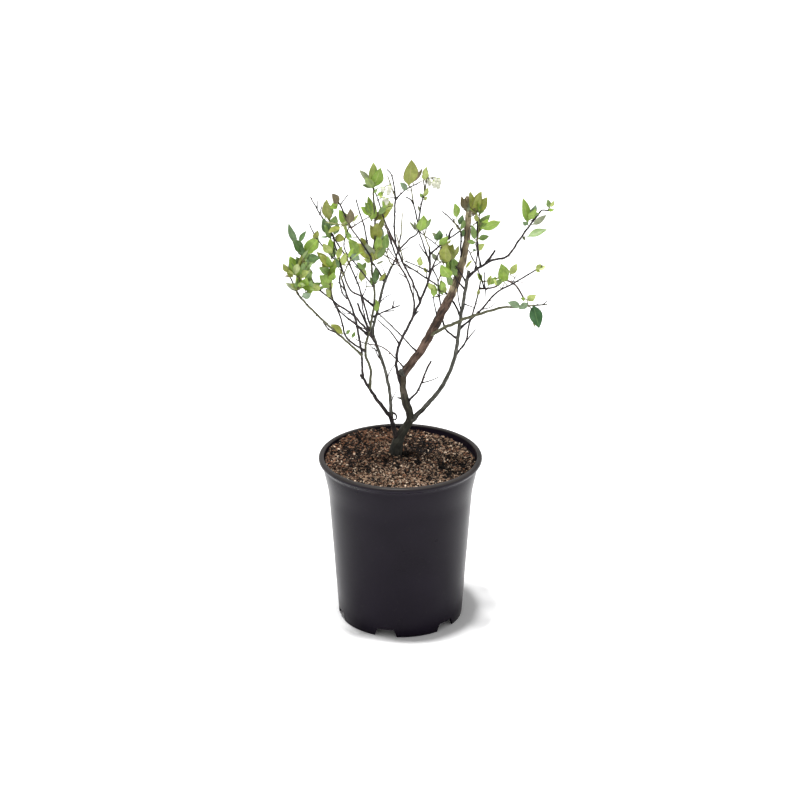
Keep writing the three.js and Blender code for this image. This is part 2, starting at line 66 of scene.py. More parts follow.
# Name: bark, where it leaves its parent, diameters from foot to tip, and its stretches, each
# [right, back, up]. A place is counted in the parent's stretches.
LIMBS = {
    "trunk": ("old", None, [19, 12, 9, 10.3, 7.8, 9.6, 10, 11, 9.6, 8.2, 7.1, 6],
              [[7, -1, 24], [12, -1, 24], [-5, -1, 23], [-4, -1, 24], [2, -2, 18], [19, -4, 30],
               [21, -5, 40], [20, -6, 45], [12, -5, 49], [3, -3, 44], [-1, -1, 24]]),
    "right_stem": ("grey", ("trunk", 1.85), [7, 5.6, 4.8, 4.4, 4],
                   [[10, -3, 10], [29, -10, 39], [16, -10, 42], [8, -12, 59], [9, -11, 62]]),
    "left_stem": ("dark", ("trunk", 0.55), [5.5, 2.6],
                  [[-7, -6, 36], [-14, -10, 27], [-12, -10, 24], [-12, -9, 21]]),
    "left_inner_stem": ("grey", ("left_stem", 0.95), [4.2, 2.6],
                        [[-1, 10, 24], [-3, 10, 29], [-13, 12, 34], [-6, 6, 16], [5, 6, 17],
                         [9, 12, 35], [10, 8, 25]]),
    "left_green_stem": ("green", ("left_stem", 2.98), [3.2, 2],
                        [[0, 3, 20], [-6, 3, 28], [8, 4, 31], [4, 2, 36], [-2, 0, 40],
                         [3, -4, 45], [-3, -8, 45]]),
    "left_dark_stem": ("dark", ("left_stem", 3.75), [2.8, 1.9],
                       [[1, -11, 41], [-9, -18, 52], [-9, -12, 28], [-6, -10, 25]]),
    "centre_stem": ("dark", ("trunk", 3.5), [3.6, 2.2],
                    [[-8, -5, 30], [1, -8, 32], [12, -10, 36], [14, -12, 37], [10, -10, 32],
                     [1, -10, 37]]),
    "far_left_bough": ("green", ("left_dark_stem", 0.84), [2.6, 2.2],
                       [[-23, -17, 25], [-21, -16, 28], [-21, -14, 27], [-9, -6, 16]]),
    "left_bough": ("dark", ("left_inner_stem", 3.1), [2.6, 1.8],
                   [[-24, 14, 16], [-24, 14, 14], [-21, 12, 14]]),
    "left_low_bough": ("dark", ("left_green_stem", 1.95), [2.4, 1.7],
                       [[-19, -10, 26], [-13, -8, 17], [-10, -8, 31]]),
    "upper_left_bough": ("dark", ("left_green_stem", 3.65), [2.4, 1.6],
                         [[-16, 9, 12], [-13, 10, 4], [-10, 14, 27], [-12, 14, 35]]),
    "back_left_bough": ("dark", ("left_inner_stem", 3.5), [2.4, 1.7],
                        [[-14, 14, 24], [-11, 16, 26], [-12, 12, 26]]),
    "inner_left_bough": ("dark", ("left_green_stem", 5.2), [2, 1.5],
                         [[-15, -12, 25], [-12, -12, 23]]),
    "back_bough": ("dark", ("left_inner_stem", 5.5), [2.2, 1.6],
                   [[8, 16, 22], [12, 14, 24], [6, 12, 24]]),
    "centre_front_bough": ("dark", ("centre_stem", 3.95), [2.4, 1.7],
                           [[-11, -7, 28], [-13, -8, 27], [-6, -8, 30], [0, -6, 30],
                            [1, -4, 20]]),
    "centre_left_bough": ("dark", ("centre_stem", 3.4), [2.4, 1.6],
                          [[1, 11, 16], [-8, 12, 21], [-11, 12, 24], [-12, 12, 25]]),
    "centre_right_bough": ("dark", ("centre_stem", 5.8), [2, 1.6], [[12, 4, 9], [20, 10, 13]]),
    "top_centre_bough": ("dark", ("centre_front_bough", 2.35), [2, 1.5],
                         [[13, 7, 20], [10, 6, 13], [-7, 6, 29]]),
    "top_right_bough": ("dark", ("top_centre_bough", 2.0), [1.9, 1.5], [[4, 6, 20], [6, 6, 22]]),
    "crossing_bough": ("dark", ("right_stem", 4.0), [2.4, 1.6],
                       [[-12, 24, 14], [-16, 20, 13], [-23, 18, 10], [-24, 16, 10]]),
    "behind_bough": ("dark", ("right_stem", 3.5), [2.4, 1.6],
                     [[-14, 18, 7], [-6, 22, 18], [-3, 20, 24]]),
    "arching_bough": ("green", ("trunk", 6.5), [4, 2.2],
                      [[26, -30, 26], [30, -22, 21], [28, -14, 13], [12, -4, 3]]),
    "right_low_bough": ("dark", ("right_stem", 3.72), [2.4, 1.6],
                        [[21, 13, 15], [21, 14, 20], [24, 16, 8], [24, 12, 11]]),
    "right_inner_bough": ("dark", ("right_stem", 3.08), [2.3, 1.6],
                          [[11, 13, 13], [6, 14, 14], [9, 18, 26], [8, 12, 21]]),
    "right_bough": ("dark", ("right_stem", 4.88), [3, 1.9],
                    [[13, -12, 18], [13, -10, 11], [18, -13, 10], [10, -10, 18],
                     [15, -13, 29]]),
    "right_up_bough": ("dark", ("right_bough", 1.0), [2, 1.6], [[-4, -6, 30]]),
    "low_twig": ("dark", ("trunk", 2.9), [2.5, 2], [[13, -12, 23], [9, -12, 30], [7, -6, 15]]),
}

# Each mass of foliage: its limb, its aim from there, its seed and what differs from USUAL.
USUAL = {"shoots": 4, "shoot": 15, "leaves": 3, "leaf": 22, "lift": 0.4, "spread": 62, "bells": 0}
MASSES = {
    "top_left_foliage": ("left_green_stem", [0, 1, 9], 3,
                         {"shoots": 3, "shoot": 9, "leaf": 28, "bells": 2}),
    "top_front_foliage": ("centre_front_bough", [-9, -6, 30], 12,
                          {"leaf": 15, "shoot": 10, "leaves": 2, "bells": 2}),
    "top_centre_foliage": ("top_centre_bough", [-3, 1, 20], 7,
                           {"leaf": 31, "shoots": 3, "shoot": 7, "lift": 0.8}),
    "top_right_foliage": ("top_right_bough", [3, 2, 18], 21,
                          {"leaf": 14, "shoot": 9, "leaves": 2, "bells": 3}),
    "trunk_top_foliage": ("trunk", [14, -2, 8], 5, {"side": 9.6}),
    "right_up_foliage": ("right_up_bough", [2, -4, 28], 31, {"shoots": 5}),
    "far_right_foliage": ("right_bough", [9, -4, 13], 14, {"spread": 75, "leaf": 24}),
    "right_tip_foliage": ("right_low_bough", [9, 3, 6], 18,
                          {"shoots": 3, "shoot": 8, "leaf": 11}),
    "right_mid_foliage": ("right_inner_bough", [26, 6, 6], 9, {}),
    "arching_foliage": ("arching_bough", [26, -8, 5], 11,
                        {"shoots": 3, "shoot": 10, "leaf": 29, "lift": -0.5}),
    "centre_right_foliage": ("centre_right_bough", [-8, -8, 20], 2, {"leaf": 18}),
    "centre_foliage": ("centre_stem", [-8, -8, 26], 6, {"leaf": 17}),
    "centre_back_foliage": ("behind_bough", [8, 8, 30], 8, {"shoots": 5}),
    "crossing_foliage": ("crossing_bough", [-10, 6, 36], 15, {"leaf": 20}),
    "centre_left_foliage": ("centre_left_bough", [-7, 10, 24], 16, {"leaf": 20}),
    "inner_back_foliage": ("left_inner_stem", [-8, 8, 20], 17, {"leaf": 20}),
    "back_foliage": ("back_bough", [2, 10, 26], 19, {"leaf": 20}),
    "back_left_foliage": ("back_left_bough", [2, 8, 24], 20, {}),
    "left_foliage": ("left_bough", [-17, 10, 18], 22, {"shoots": 5}),
    "upper_left_foliage": ("upper_left_bough", [-13, 9, 22], 23, {}),
    "inner_left_foliage": ("inner_left_bough", [-8, -9, 18], 24, {}),
    "left_low_foliage": ("left_low_bough", [-2, -6, 24], 25, {"leaf": 20}),
    "far_left_foliage": ("far_left_bough", [6, -8, 40], 26, {"shoots": 6}),
    "left_dark_foliage": ("left_dark_stem", [8, -8, 22], 27, {}),
}

# ---- Finer twigs, which only the looks have ---------------------------------------------------

# The same form as LIMBS. They are too thin for solids of their own.
TWIGS = {
    "trunk_spur": ("dark", ("trunk", 3.1), [2.2, 1], [[-9.5, -2, 3]]),
    "elbow_knob": ("grey", ("trunk", 4.85), [7, 4.5], [[-4, -3, 5]]),
    "right_fork": ("dark", ("right_stem", 4.75), [1.9, 1.1],
                   [[-6, 2, 10], [-6, 2, 8], [-7, 3, 10]]),
    "right_fork_low": ("dark", ("right_stem", 4.6), [1.8, 1.1], [[-13, 3, 16], [-5, 2, 21]]),
    "right_inner_fork": ("dark", ("right_inner_bough", 0.6), [1.6, 1], [[8, 4, 15], [10, 4, 9]]),
    "right_mid_twig": ("brown", ("right_inner_bough", 3.7), [1.9, 1.7],
                       [[8, 2, -1], [12, 2, 2], [10, 2, 7], [10, 0, -3], [7, 0, -6],
                        [7, -1, -12]]),
    "right_mid_hair": ("dark", ("right_mid_twig", 3), [1, 0.7], [[24, 2, -3]]),
    "right_mid_hang": ("dark", ("right_mid_twig", 1), [1.2, 0.9], [[0.5, -2, -11]]),
    "arching_tip": ("green", ("arching_bough", 4), [2.2, 1.2], [[16, -5, 3], [24, -5, 3.5]]),
    "arching_fork": ("dark", ("arching_tip", 1.8), [1.2, 0.8], [[5, 0, 5]]),
    "stem_spur": ("dark", ("right_stem", 4.3), [1.3, 0.9], [[12, -2, -4]]),
    "low_twig_side": ("dark", ("low_twig", 1.4), [1.3, 0.9], [[10, -2, 3.5], [10, -1, 5]]),
    "centre_spur": ("dark", ("centre_stem", 3.3), [1.8, 1.3], [[7, -2, 8.6]]),
    "top_stem": ("dark", ("centre_front_bough", 5), [1.7, 1],
                 [[-1, -2, 13], [-3.5, -2, 20], [-6, -2, 8]]),
    "top_side": ("dark", ("centre_front_bough", 4.95), [1.6, 1],
                 [[11, 2, 11], [16, 3, 8]]),
    "top_left_second": ("dark", ("centre_front_bough", 2.1), [1.6, 1.1],
                        [[-8.5, 4, 22], [-9.5, 6, 22], [-8.3, 6, 22], [-4.7, 5, 15]]),
    "crossing_second": ("dark", ("centre_stem", 5.15), [1.4, 1], [[-14, 3, 5.5], [-13, 3, 7]]),
    "brown_first": ("brown", ("centre_front_bough", 2.4), [1.4, 0.9], [[-15.5, 3, 30]]),
    "brown_second": ("brown", ("centre_left_bough", 2.6), [1.4, 0.9], [[-8, 3, 13], [-9, 3, 13]]),
    "brown_third": ("brown", ("centre_left_bough", 3), [1.2, 0.8], [[-18, 4, 9.6]]),
    "blossom_twig": ("green", ("top_right_bough", 2), [1.5, 1], [[-1, 1, 14], [7, 0, 1.5]]),
    "down_twig": ("dark", ("top_centre_bough", 1.95), [1.3, 0.9], [[14, -3, -10], [12, -3, -9]]),
    "centre_right_spur": ("dark", ("centre_right_bough", 1.4), [1.4, 1], [[-2, -1, 8]]),
    "left_dark_spur": ("dark", ("left_dark_stem", 3.3), [1.5, 1], [[-8, -2, 11]]),
    "cross_left": ("dark", ("left_green_stem", 4.3), [1.7, 1],
                   [[-18, -6, 27], [-17, -5, 27], [6, -2, 27]]),
    "inner_back_side": ("dark", ("left_inner_stem", 6.2), [1.3, 0.8], [[-15, 4, 26]]),
    "centre_left_bare": ("dark", ("left_green_stem", 3.25), [1.7, 1.2],
                         [[17, -4, 10], [16, -3, 7.5]]),
    "centre_left_bare_low": ("dark", ("centre_left_bare", 0.8), [1.2, 0.9], [[13, 2, 1]]),
}

# Where the stops of limbs show in the 800-pixel picture, from the second on, or None for a stop
# that stays. Each keeps its depth.
LINES = {
    "trunk": [None, None, (405.5, 401), (402.6, 384), (405, 371.5), (421.1, 350), (437.7, 320),
              (454.8, 286), (465.5, 248), (468.4, 214), (468.4, 197.8)],
    "left_stem": [(391, 419), (378.6, 402), (369.2, 388), (360.5, 375)],
    "left_inner_stem": [(390.3, 399), (386.2, 374), (376.5, 344.5), (372.7, 331), (376.8, 314),
                        (383, 287), (391.5, 266.5)],
    "left_green_stem": [(370.8, 371), (365.2, 350), (371, 324), (374.6, 296), (371.8, 266),
                        (375.3, 231), (373.3, 194)],
    "left_dark_stem": [(361.2, 350), (354, 314), (347, 295.5), (341.8, 279)],
    "far_left_bough": [(341.3, 336.8), (323.6, 320.9), (306.3, 304), (297.6, 293.8)],
    "left_bough": [(356.5, 318), (338, 304.5), (320.8, 291)],
    "left_low_bough": [(347, 338), (340.8, 318), (332.3, 298.5)],
    "upper_left_bough": [(361.5, 296.5), (350, 289.5), (341.5, 267), (332.8, 236)],
    "back_left_bough": [(366.5, 313), (359.5, 288), (350, 265.4)],
    "inner_left_bough": [(363, 245), (350.5, 227.5)],
    "centre_front_bough": [(411.4, 279.5), (400.5, 257.5), (395, 238.5), (394.6, 215),
                           (395.5, 199)],
    "centre_left_bough": [(413.6, 299), (406.8, 278), (398.5, 263), (388, 233)],
    "centre_right_bough": [(441, 244.6), (459, 231.7)],
    "top_centre_bough": [(408.5, 240), (418.4, 230), (413.5, 203.5)],
    "top_right_bough": [(420.3, 209.5), (424.8, 191)],
    "crossing_bough": [(452.3, 300.5), (438.6, 286.5), (420.4, 274.4), (404.4, 263.8)],
    "right_stem": [None, (440.7, 388.3), (454.2, 358.8), (460.8, 316.8), (468.7, 271.5)],
    "right_bough": [(480.6, 266.8), (491.8, 260.6), (507.6, 256), (517.4, 242.8), (532.8, 221)],
    "right_up_bough": [(477.3, 244)],
    "right_low_bough": [(479, 312), (496, 293), (515, 282.6), (535, 270.4)],
    "right_inner_bough": [(465.6, 341.8), (468.8, 325.6), (476.2, 301.6), (480.3, 283)],
    "low_twig": [(417.6, 391), (426.2, 370.6), (431, 361.4)],
    "right_inner_fork": [(469, 337.4), (475.6, 329.6)],
    "centre_stem": [None, None, (409, 324.5), (420.8, 299.7), (429.3, 276), None],
    "behind_bough": [(445.4, 328.8), None, None],
    "top_stem": [(394.4, 188.3), (391.6, 175), (387, 169.4)],
    "top_left_second": [(393, 239), (384.4, 220), (378.2, 200), (373.3, 188.3)],
    "crossing_second": [(417.6, 266), (404.6, 261)],
}

# Twigs drawn by where they show: each stop as [pixels across, pixels down, further back].
DRAWN_TWIGS = {
    "left_lower": ("dark", ("left_green_stem", 2.6), [2, 1.4],
                   [(355.4, 323.8, 3), (341.5, 313, 3), (333, 300, 3)]),
    "left_bough_tip": ("dark", ("left_bough", 3), [2, 1.4],
                       [(311.5, 281, 4), (306.5, 269, 4), (303, 258, 2)]),
    "far_left_tip": ("dark", ("far_left_bough", 3.9), [1.8, 1.3],
                     [(292, 281, -2), (288.5, 274, -2)]),
    "far_left_second": ("dark", ("far_left_bough", 1.3), [1.8, 1.4],
                        [(329.5, 329.8, -3), (323, 322, -3)]),
    "back_left_long": ("dark", ("back_left_bough", 3), [2, 1.5],
                       [(345, 255, 2), (337, 243, 2), (333.5, 236.5, 0)]),
    "upper_left_long": ("dark", ("upper_left_bough", 4), [1.9, 1.2],
                        [(325.4, 222.5, 3), (318.6, 212, 3), (310.4, 197, 3)]),
    "upper_left_side": ("dark", ("upper_left_long", 2.2), [1.3, 1], [(317.3, 201, 2)]),
    "upper_left_spur": ("dark", ("upper_left_long", 1.8), [1.3, 1], [(321.5, 206.3, -2)]),
    "far_upper_left": ("dark", ("upper_left_bough", 2.95), [1.8, 1.2],
                       [(334, 259, 2), (321, 244, 4), (313, 232, 3), (309.6, 224.3, 2)]),
    "upper_left_upright": ("dark", ("upper_left_bough", 3.05), [1.6, 1.2],
                           [(334.6, 256, 2), (334, 241, 2)]),
    "knobbed_stub": ("dark", ("left_green_stem", 2.75), [2.4, 2.2],
                     [(362, 314.5, -3), (357.6, 303.5, -3)]),
    "inner_left_top": ("dark", ("inner_left_bough", 2), [1.9, 1.5],
                       [(343, 210.8, -4), (335.5, 197.5, -3)]),
    "inner_left_hair": ("dark", ("inner_left_top", 1.4), [1.2, 1], [(348, 194.5, 0)]),
    "inner_left_side": ("brown", ("inner_left_bough", 1.97), [1.4, 1],
                        [(361, 221.5, 1), (369, 217, 1)]),
    "upright_left": ("dark", ("left_green_stem", 5.1), [1.9, 1.3],
                     [(367.5, 244, -4), (364, 226, -4), (359.3, 211, -3), (356, 199.5, -3)]),
    "centre_left_bare_up": ("dark", ("centre_left_bare", 1.45), [1.4, 1.2], [(394.2, 300.4, -1)]),
    "trunk_long": ("dark", ("trunk", 5.85), [1.8, 1.3], [(397, 331.5, -8), (377.7, 312.3, -6)]),
    "centre_back_hair": ("dark", ("centre_stem", 2.2), [1.6, 1.2],
                         [(391.5, 333, 4), (384, 325.5, 3), (377.5, 319.5, 2)]),
    "elbow_long": ("brown", ("trunk", 5.1), [1.6, 1.1],
                   [(384.6, 348.5, -4), (366, 343.5, -6), (356, 339.5, -3)]),
    "inner_stem_hair": ("dark", ("left_inner_stem", 2.35), [1.5, 1.1],
                        [(378, 355.5, 2), (374.5, 348, 1)]),
    "centre_diagonal": ("dark", ("centre_stem", 5.05), [2, 1.5],
                        [(435, 261.4, -2), (441.4, 247.5, -2)]),
    "centre_diagonal_side": ("dark", ("centre_diagonal", 0.55), [1.4, 1], [(442.3, 261.4, 3)]),
    "centre_down_spur": ("dark", ("centre_diagonal", 0.5), [1.5, 1.2],
                         [(434, 271.6, 1), (437.4, 279, 1), (438.6, 287, 1), (440, 300, 1)]),
    "centre_hair": ("dark", ("centre_stem", 5.6), [1.5, 1], [(422.3, 249.5, 1), (419, 244, 1)]),
    "centre_hair_long": ("dark", ("centre_stem", 5.5), [1.9, 1.4],
                         [(424.2, 247, -2), (419, 231.5, -2)]),
    "centre_right_horn": ("dark", ("centre_right_bough", 1.45), [2.2, 1.8],
                          [(449.8, 232.8, -1), (452.8, 228.2, -1)]),
    "top_hook": ("dark", ("top_centre_bough", 3), [1.7, 1.2],
                 [(410.5, 199.4, 1), (406, 197.2, 1)]),
    "grey_twig": ("dark", ("trunk", 8.6), [2.2, 1.2],
                  [(460.8, 248, -5), (460.5, 231, -2), (452, 220.3, 1), (442.5, 211.5, 3)]),
    "upright_line": ("dark", ("right_mid_twig", 0.85), [1.7, 1.3],
                     [(477.8, 269.5, -6), (468.8, 250.5, -6)]),
    "right_mid_spur": ("dark", ("right_mid_twig", 0.9), [1.4, 1.2], [(484.6, 272.3, -1)]),
    "stem_hair": ("dark", ("right_stem", 4.1), [1.6, 1.1], [(458.5, 299.5, 2), (457.2, 285, 2)]),
    "leaf_line": ("dark", ("trunk", 7.0), [1.5, 1.1], [(434.4, 304, -2), (433.3, 296, 0)]),
    "right_cut_stub": ("dark", ("right_bough", 1.5), [2.4, 2.2], [(495, 250.6, -4)]),
    "right_up_tip": ("dark", ("right_up_bough", 0.97), [2, 1.4],
                     [(477.2, 232, -1), (477.5, 225, 0), (477, 217.5, 1)]),
    "right_side_spur": ("dark", ("right_bough", 0.55), [1.6, 1.3],
                        [(477.5, 252, 3), (476.4, 243, 3)]),
    "green_stem_side": ("dark", ("left_green_stem", 5.1), [1.5, 1.2],
                        [(378, 270, 2), (384, 280.5, 3)]),
    "upper_left_loop": ("dark", ("upper_left_bough", 2.95), [1.9, 1.6],
                        [(339.8, 279, -2), (342, 292, -3), (347, 299, -3)]),
    "left_low_up": ("dark", ("left_low_bough", 2.95), [1.5, 1.1],
                    [(331, 290, 1), (329.5, 283, 1)]),
    "left_second_long": ("dark", ("left_low_bough", 2.5), [1.4, 1.3],
                         [(344, 315.5, 3), (354, 323.2, 4), (362.5, 331, 3), (367.5, 336, 2)]),
    "knob_twig": ("dark", ("left_inner_stem", 2.85), [1.6, 1.5],
                  [(368.5, 328, -3), (364, 314, -3), (361, 297, -2)]),
    "far_right_tip": ("dark", ("right_bough", 5), [1.9, 1.2],
                      [(538, 215, -3), (541.8, 210.3, -2), (548, 210.8, -2), (554, 209.7, -1)]),
    "dead_curl": ("dark", ("left_inner_stem", 0.35), [2, 1.6],
                  [(394.8, 413.8, 0), (396.8, 417.5, 0), (394.8, 420, 0), (392.4, 418.6, 0)]),
}

BARK_RELIEF = {"foot": 1.06, "tip": 1.14}  # how much stouter thin limbs are for their bark
STOUTER = {"foot": 1.12, "tip": 1.3}  # how much stouter TWIGS are than their numbers
DRAWN_STOUTER = 1.12  # and how much stouter DRAWN_TWIGS are

# Twigs that a rule adds along the limbs that reach to the back and the sides.
SIDE_TWIGS = {"gap": 26, "first": 20, "last": 8, "length": 21, "stretches": [0.55, 0.45],
              "thick": 1.3, "taper": 0.6, "collar": 0.8, "spread": 48, "lift": 0.3,
              "bend_deg": 22, "bend_lift": 0.15}
SIDE_TWIG_LIMBS = ["back_bough", "back_left_bough", "left_bough", "centre_left_bough",
                   "crossing_bough", "behind_bough", "right_low_bough", "left_inner_stem"]

# ---- Camera and light -------------------------------------------------------------------------

CAMERA = {"right": -0.5, "back": -2558, "up": 1351.3, "down_deg": 22.6, "lens": 102.06,
          "sensor": 36}
FLOOR = {"size": 16, "shade": 0.95}  # metres a side
LIGHT = {"all_round": 0.48, "horizon": 1, "fall": [0.12, 0.4], "overhead": 2.42, "soft_deg": 5,
         "left_deg": [0.2, 7.4], "front_deg": 1.5}


# ---- Vectors and curves -----------------------------------------------------------------------


def vec(x, y, z):
    return np.array([x, y, z], float)


def unit(v):
    return v / np.linalg.norm(v)


UP = vec(0, 0, 1)
RIGHT = vec(1, 0, 0)
STEEP = 0.9  # a direction that rises by more than this is close to UP


def seeded(seed):
    """The source's generator of numbers from 0 to 1."""
    state = [seed * GENERATOR["seed_times"] + GENERATOR["seed_plus"]]

    def draw():
        state[0] = state[0] * GENERATOR["times"] % GENERATOR["limit"]
        return state[0] / GENERATOR["limit"]

    return draw


def square_to(direction):
    """Two unit vectors square to a direction and to each other."""
    guide = UP if abs(direction[2]) < STEEP else RIGHT
    side = unit(np.cross(direction, guide))
    return side, unit(np.cross(direction, side))


def branching(axis, turn, spread, lift):
    """The direction that leaves an axis: turned about it, spread from it and lifted."""
    side, other = square_to(axis)
    out = axis * math.cos(spread) + side * math.sin(spread) * math.cos(turn)
    out = out + other * math.sin(spread) * math.sin(turn)
    return unit(out + UP * lift)


class Limb:
    """A tapering limb along the uniform Catmull-Rom curve through its stops."""

    def __init__(self, name, bark, start, thick, grows):
        self.name, self.bark, self.thick = name, bark, thick
        self.stretches = len(grows)
        stops = start + np.vstack([[0, 0, 0], np.cumsum(np.array(grows, float), axis=0)])
        first = 2 * stops[0] - stops[1]
        last = 2 * stops[-1] - stops[-2]
        self.stops = np.vstack([first, stops, last])
        even = np.array([self.at(share) for share in CURVE])
        steps = np.linalg.norm(np.diff(even, axis=0), axis=1)
        self.length = steps.sum()
        rings = max(2, round(self.length / RING_STEP))
        self.centres = np.array([self.at(i / rings) for i in range(rings + 1)])
        self.radii = np.array([self.radius(i / rings) for i in range(rings + 1)])
        self.travelled = np.concatenate([[0], np.cumsum(steps)])

    def at(self, share):
        place = share * self.stretches
        i = min(int(place), self.stretches - 1)
        t = place - i
        a, b, c, d = self.stops[i : i + 4]
        leave, arrive = (c - a) / 2, (d - b) / 2
        cubic = 2 * b - 2 * c + leave + arrive
        square = 3 * c - 3 * b - 2 * leave - arrive
        return cubic * t**3 + square * t**2 + leave * t + b

    def heading(self, share):
        return unit(self.at(min(1, share + HEADING_OVER)) - self.at(max(0, share - HEADING_OVER)))

    def radius(self, share):
        place = share * (len(self.thick) - 1)
        i = min(int(place), len(self.thick) - 2)
        return (self.thick[i] + (self.thick[i + 1] - self.thick[i]) * (place - i)) / 2

    def share_at(self, distance):
        """The share of the way along that lies a distance from its foot."""
        return float(np.interp(distance, self.travelled, CURVE))


def foot_of(leaves, limbs):
    """The place where a limb leaves its parent."""
    if not leaves:
        return vec(*FOOT_OF_PLANT)
    parent = limbs[leaves[0]]
    return parent.at(leaves[1] / parent.stretches)


def lay_out(table, limbs, picture, stouter=None):
    """Adds the limbs of a table, along the lines that show of them."""
    for name, (bark, leaves, thick, grows) in table.items():
        start = foot_of(leaves, limbs)
        stops = start + np.cumsum(np.array(grows, float), axis=0)
        for i, pixel in enumerate(LINES.get(name, [])):
            if pixel:
                stops[i] = picture.place(*pixel, stops[i][1])
        if stouter and len(thick) == 2:
            thick = [thick[0] * stouter["foot"], thick[1] * stouter["tip"]]
        limbs[name] = Limb(name, bark, start, thick, np.diff(np.vstack([start, stops]), axis=0))


def lay_out_drawn(table, limbs, picture):
    """Adds the twigs of a table that are drawn by where they show."""
    for name, (bark, leaves, thick, drawn) in table.items():
        start, thick = foot_of(leaves, limbs), np.array(thick) * DRAWN_STOUTER
        backs = start[1] + np.cumsum([back for _, _, back in drawn])
        stops = [picture.place(u, v, back) for (u, v, _), back in zip(drawn, backs)]
        limbs[name] = Limb(name, bark, start, thick, np.diff(np.vstack([start, stops]), axis=0))


# ---- Space that each mass keeps to ------------------------------------------------------------


class Mass:
    """The stem of a mass of foliage, as the source lays it out, with its numbers."""

    def __init__(self, name, limbs):
        limb_name, aim, self.seed, other = MASSES[name]
        numbers = {**USUAL, **other}
        self.numbers, self.limb = numbers, limbs[limb_name]
        aim = vec(*aim)
        side = numbers.get("side")
        share = 1 if side is None else side / self.limb.stretches
        place = self.limb.at(share)
        heading = self.limb.heading(1) if side is None else unit(aim * [1, 1, 0])
        clear = GAP if side is None else self.limb.radius(share) + GAP
        self.place = place
        self.start = place + heading * clear
        self.turn = self.start + heading * TWIG["lead"]
        self.end = place + aim
        self.stem = self.end - self.start
        self.axis = unit(self.stem)

    def at(self, share):
        return self.start + self.stem * share


def distances(point, starts, ends):
    """How far a point is from each of many straight segments."""
    along = ends - starts
    offset = point - starts
    share = np.clip((offset * along).sum(1) / (along * along).sum(1), 0, 1)
    return np.linalg.norm(offset - along * share[:, None], axis=1)


class Space:
    """Tells whether points keep to one mass's own space and clear of every limb."""

    def __init__(self, limbs, masses):
        self.starts = np.array([mass.start for mass in masses])
        self.ends = np.array([mass.end for mass in masses])
        self.limb_starts = np.vstack([limb.centres[:-1] for limb in limbs])
        self.limb_ends = np.vstack([limb.centres[1:] for limb in limbs])
        room = [np.maximum(limb.radii[1:], limb.radii[:-1]) + LIMB_ROOM for limb in limbs]
        self.room = np.concatenate(room)

    def is_free(self, points, number):
        for point in points:
            away = distances(point, self.starts, self.ends)
            own = away[number] + 2 * MASS_ROOM
            away[number] = np.inf
            if away.min() <= own:
                return False
            if (distances(point, self.limb_starts, self.limb_ends) <= self.room).any():
                return False
        return True


# ---- Bodies -----------------------------------------------------------------------------------


class Heap:
    """Bodies that are joined into one piece, with the number of each face's material."""

    def __init__(self):
        self.points, self.faces, self.finishes, self.count = [], [], [], 0
        self.along = []

    def add(self, points, faces, finish=0, along=None):
        """finish is one number for the whole body or one for each face. along gives each
        point's place round and along its limb, for the bark's streaks."""
        self.points.append(points)
        self.along.append(points if along is None else along)
        self.faces.extend(tuple(i + self.count for i in face) for face in faces)
        self.finishes.extend([finish] * len(faces) if isinstance(finish, int) else finish)
        self.count += len(points)

    def piece(self, name, materials, slot, stands_for=(), smooth=True):
        mesh = bpy.data.meshes.new(name)
        mesh.from_pydata(placed(np.vstack(self.points)).tolist(), [], self.faces)
        for material in materials:
            mesh.materials.append(material)
        mesh.polygons.foreach_set("material_index", self.finishes)
        mesh.polygons.foreach_set("use_smooth", [smooth] * len(mesh.polygons))
        along = mesh.attributes.new("along", "FLOAT_VECTOR", "POINT")
        along.data.foreach_set("vector", (np.vstack(self.along) * MM).ravel())
        mesh.update()
        piece = bpy.data.objects.new(name, mesh)
        bpy.context.scene.collection.objects.link(piece)
        return settle(piece, slot, stands_for)


def settle(piece, slot, stands_for):
    """Makes a piece ride on the plant's one body and hides the nodes that it replaces. Its slot is
    not used.
    """
    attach(piece, "root")
    if stands_for:
        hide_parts(*stands_for)
    return piece


def placed(points):
    """Points in millimetres from the pot's axis, as metres in the row's frame."""
    return np.asarray(points) * MM + POT_AXIS


def keep_sharp(mesh, degrees):
    """Keeps the edges sharp whose faces meet at more than so many degrees."""
    limit = math.cos(math.radians(degrees))
    normals = [polygon.normal.copy() for polygon in mesh.polygons]
    met = {}
    for polygon in mesh.polygons:
        for key in polygon.edge_keys:
            met.setdefault(key, []).append(polygon.index)
    for edge in mesh.edges:
        faces = met.get(edge.key, [])
        edge.use_edge_sharp = len(faces) == 2 and normals[faces[0]].dot(normals[faces[1]]) < limit


def ring_frames(centres, level_foot):
    """For each ring: two vectors square to its way, following on from the ring before."""
    side = None
    for i, centre in enumerate(centres):
        ahead = unit(centres[min(i + 1, len(centres) - 1)] - centres[max(i - 1, 0)])
        if level_foot and i == 0:
            ahead = UP
        side = square_to(ahead)[0] if side is None else side
        side = unit(side - ahead * side.dot(ahead))
        yield side, np.cross(ahead, side)


def tube(centres, radii, sides, relief=None, level_foot=False):
    """A closed round body along centres. relief gives a share of the radius at a ring's turns."""
    turns = np.linspace(0, 2 * math.pi, sides, endpoint=False)
    rows = []
    for i, (side, other) in enumerate(ring_frames(centres, level_foot)):
        grown = radii[i] * (1 + relief(i, turns) if relief else np.ones(sides))
        out = np.outer(np.cos(turns) * grown, side) + np.outer(np.sin(turns) * grown, other)
        rows.append(centres[i] + out)
    last = len(centres) - 1
    faces = []
    for i in range(last):
        for k in range(sides):
            a, b = i * sides + k, i * sides + (k + 1) % sides
            faces.append((a, b, b + sides, a + sides))
    faces.append(tuple(range(sides - 1, -1, -1)))
    faces.append(tuple(range(last * sides, last * sides + sides)))
    return np.vstack(rows), faces


# ---- Bark -------------------------------------------------------------------------------------

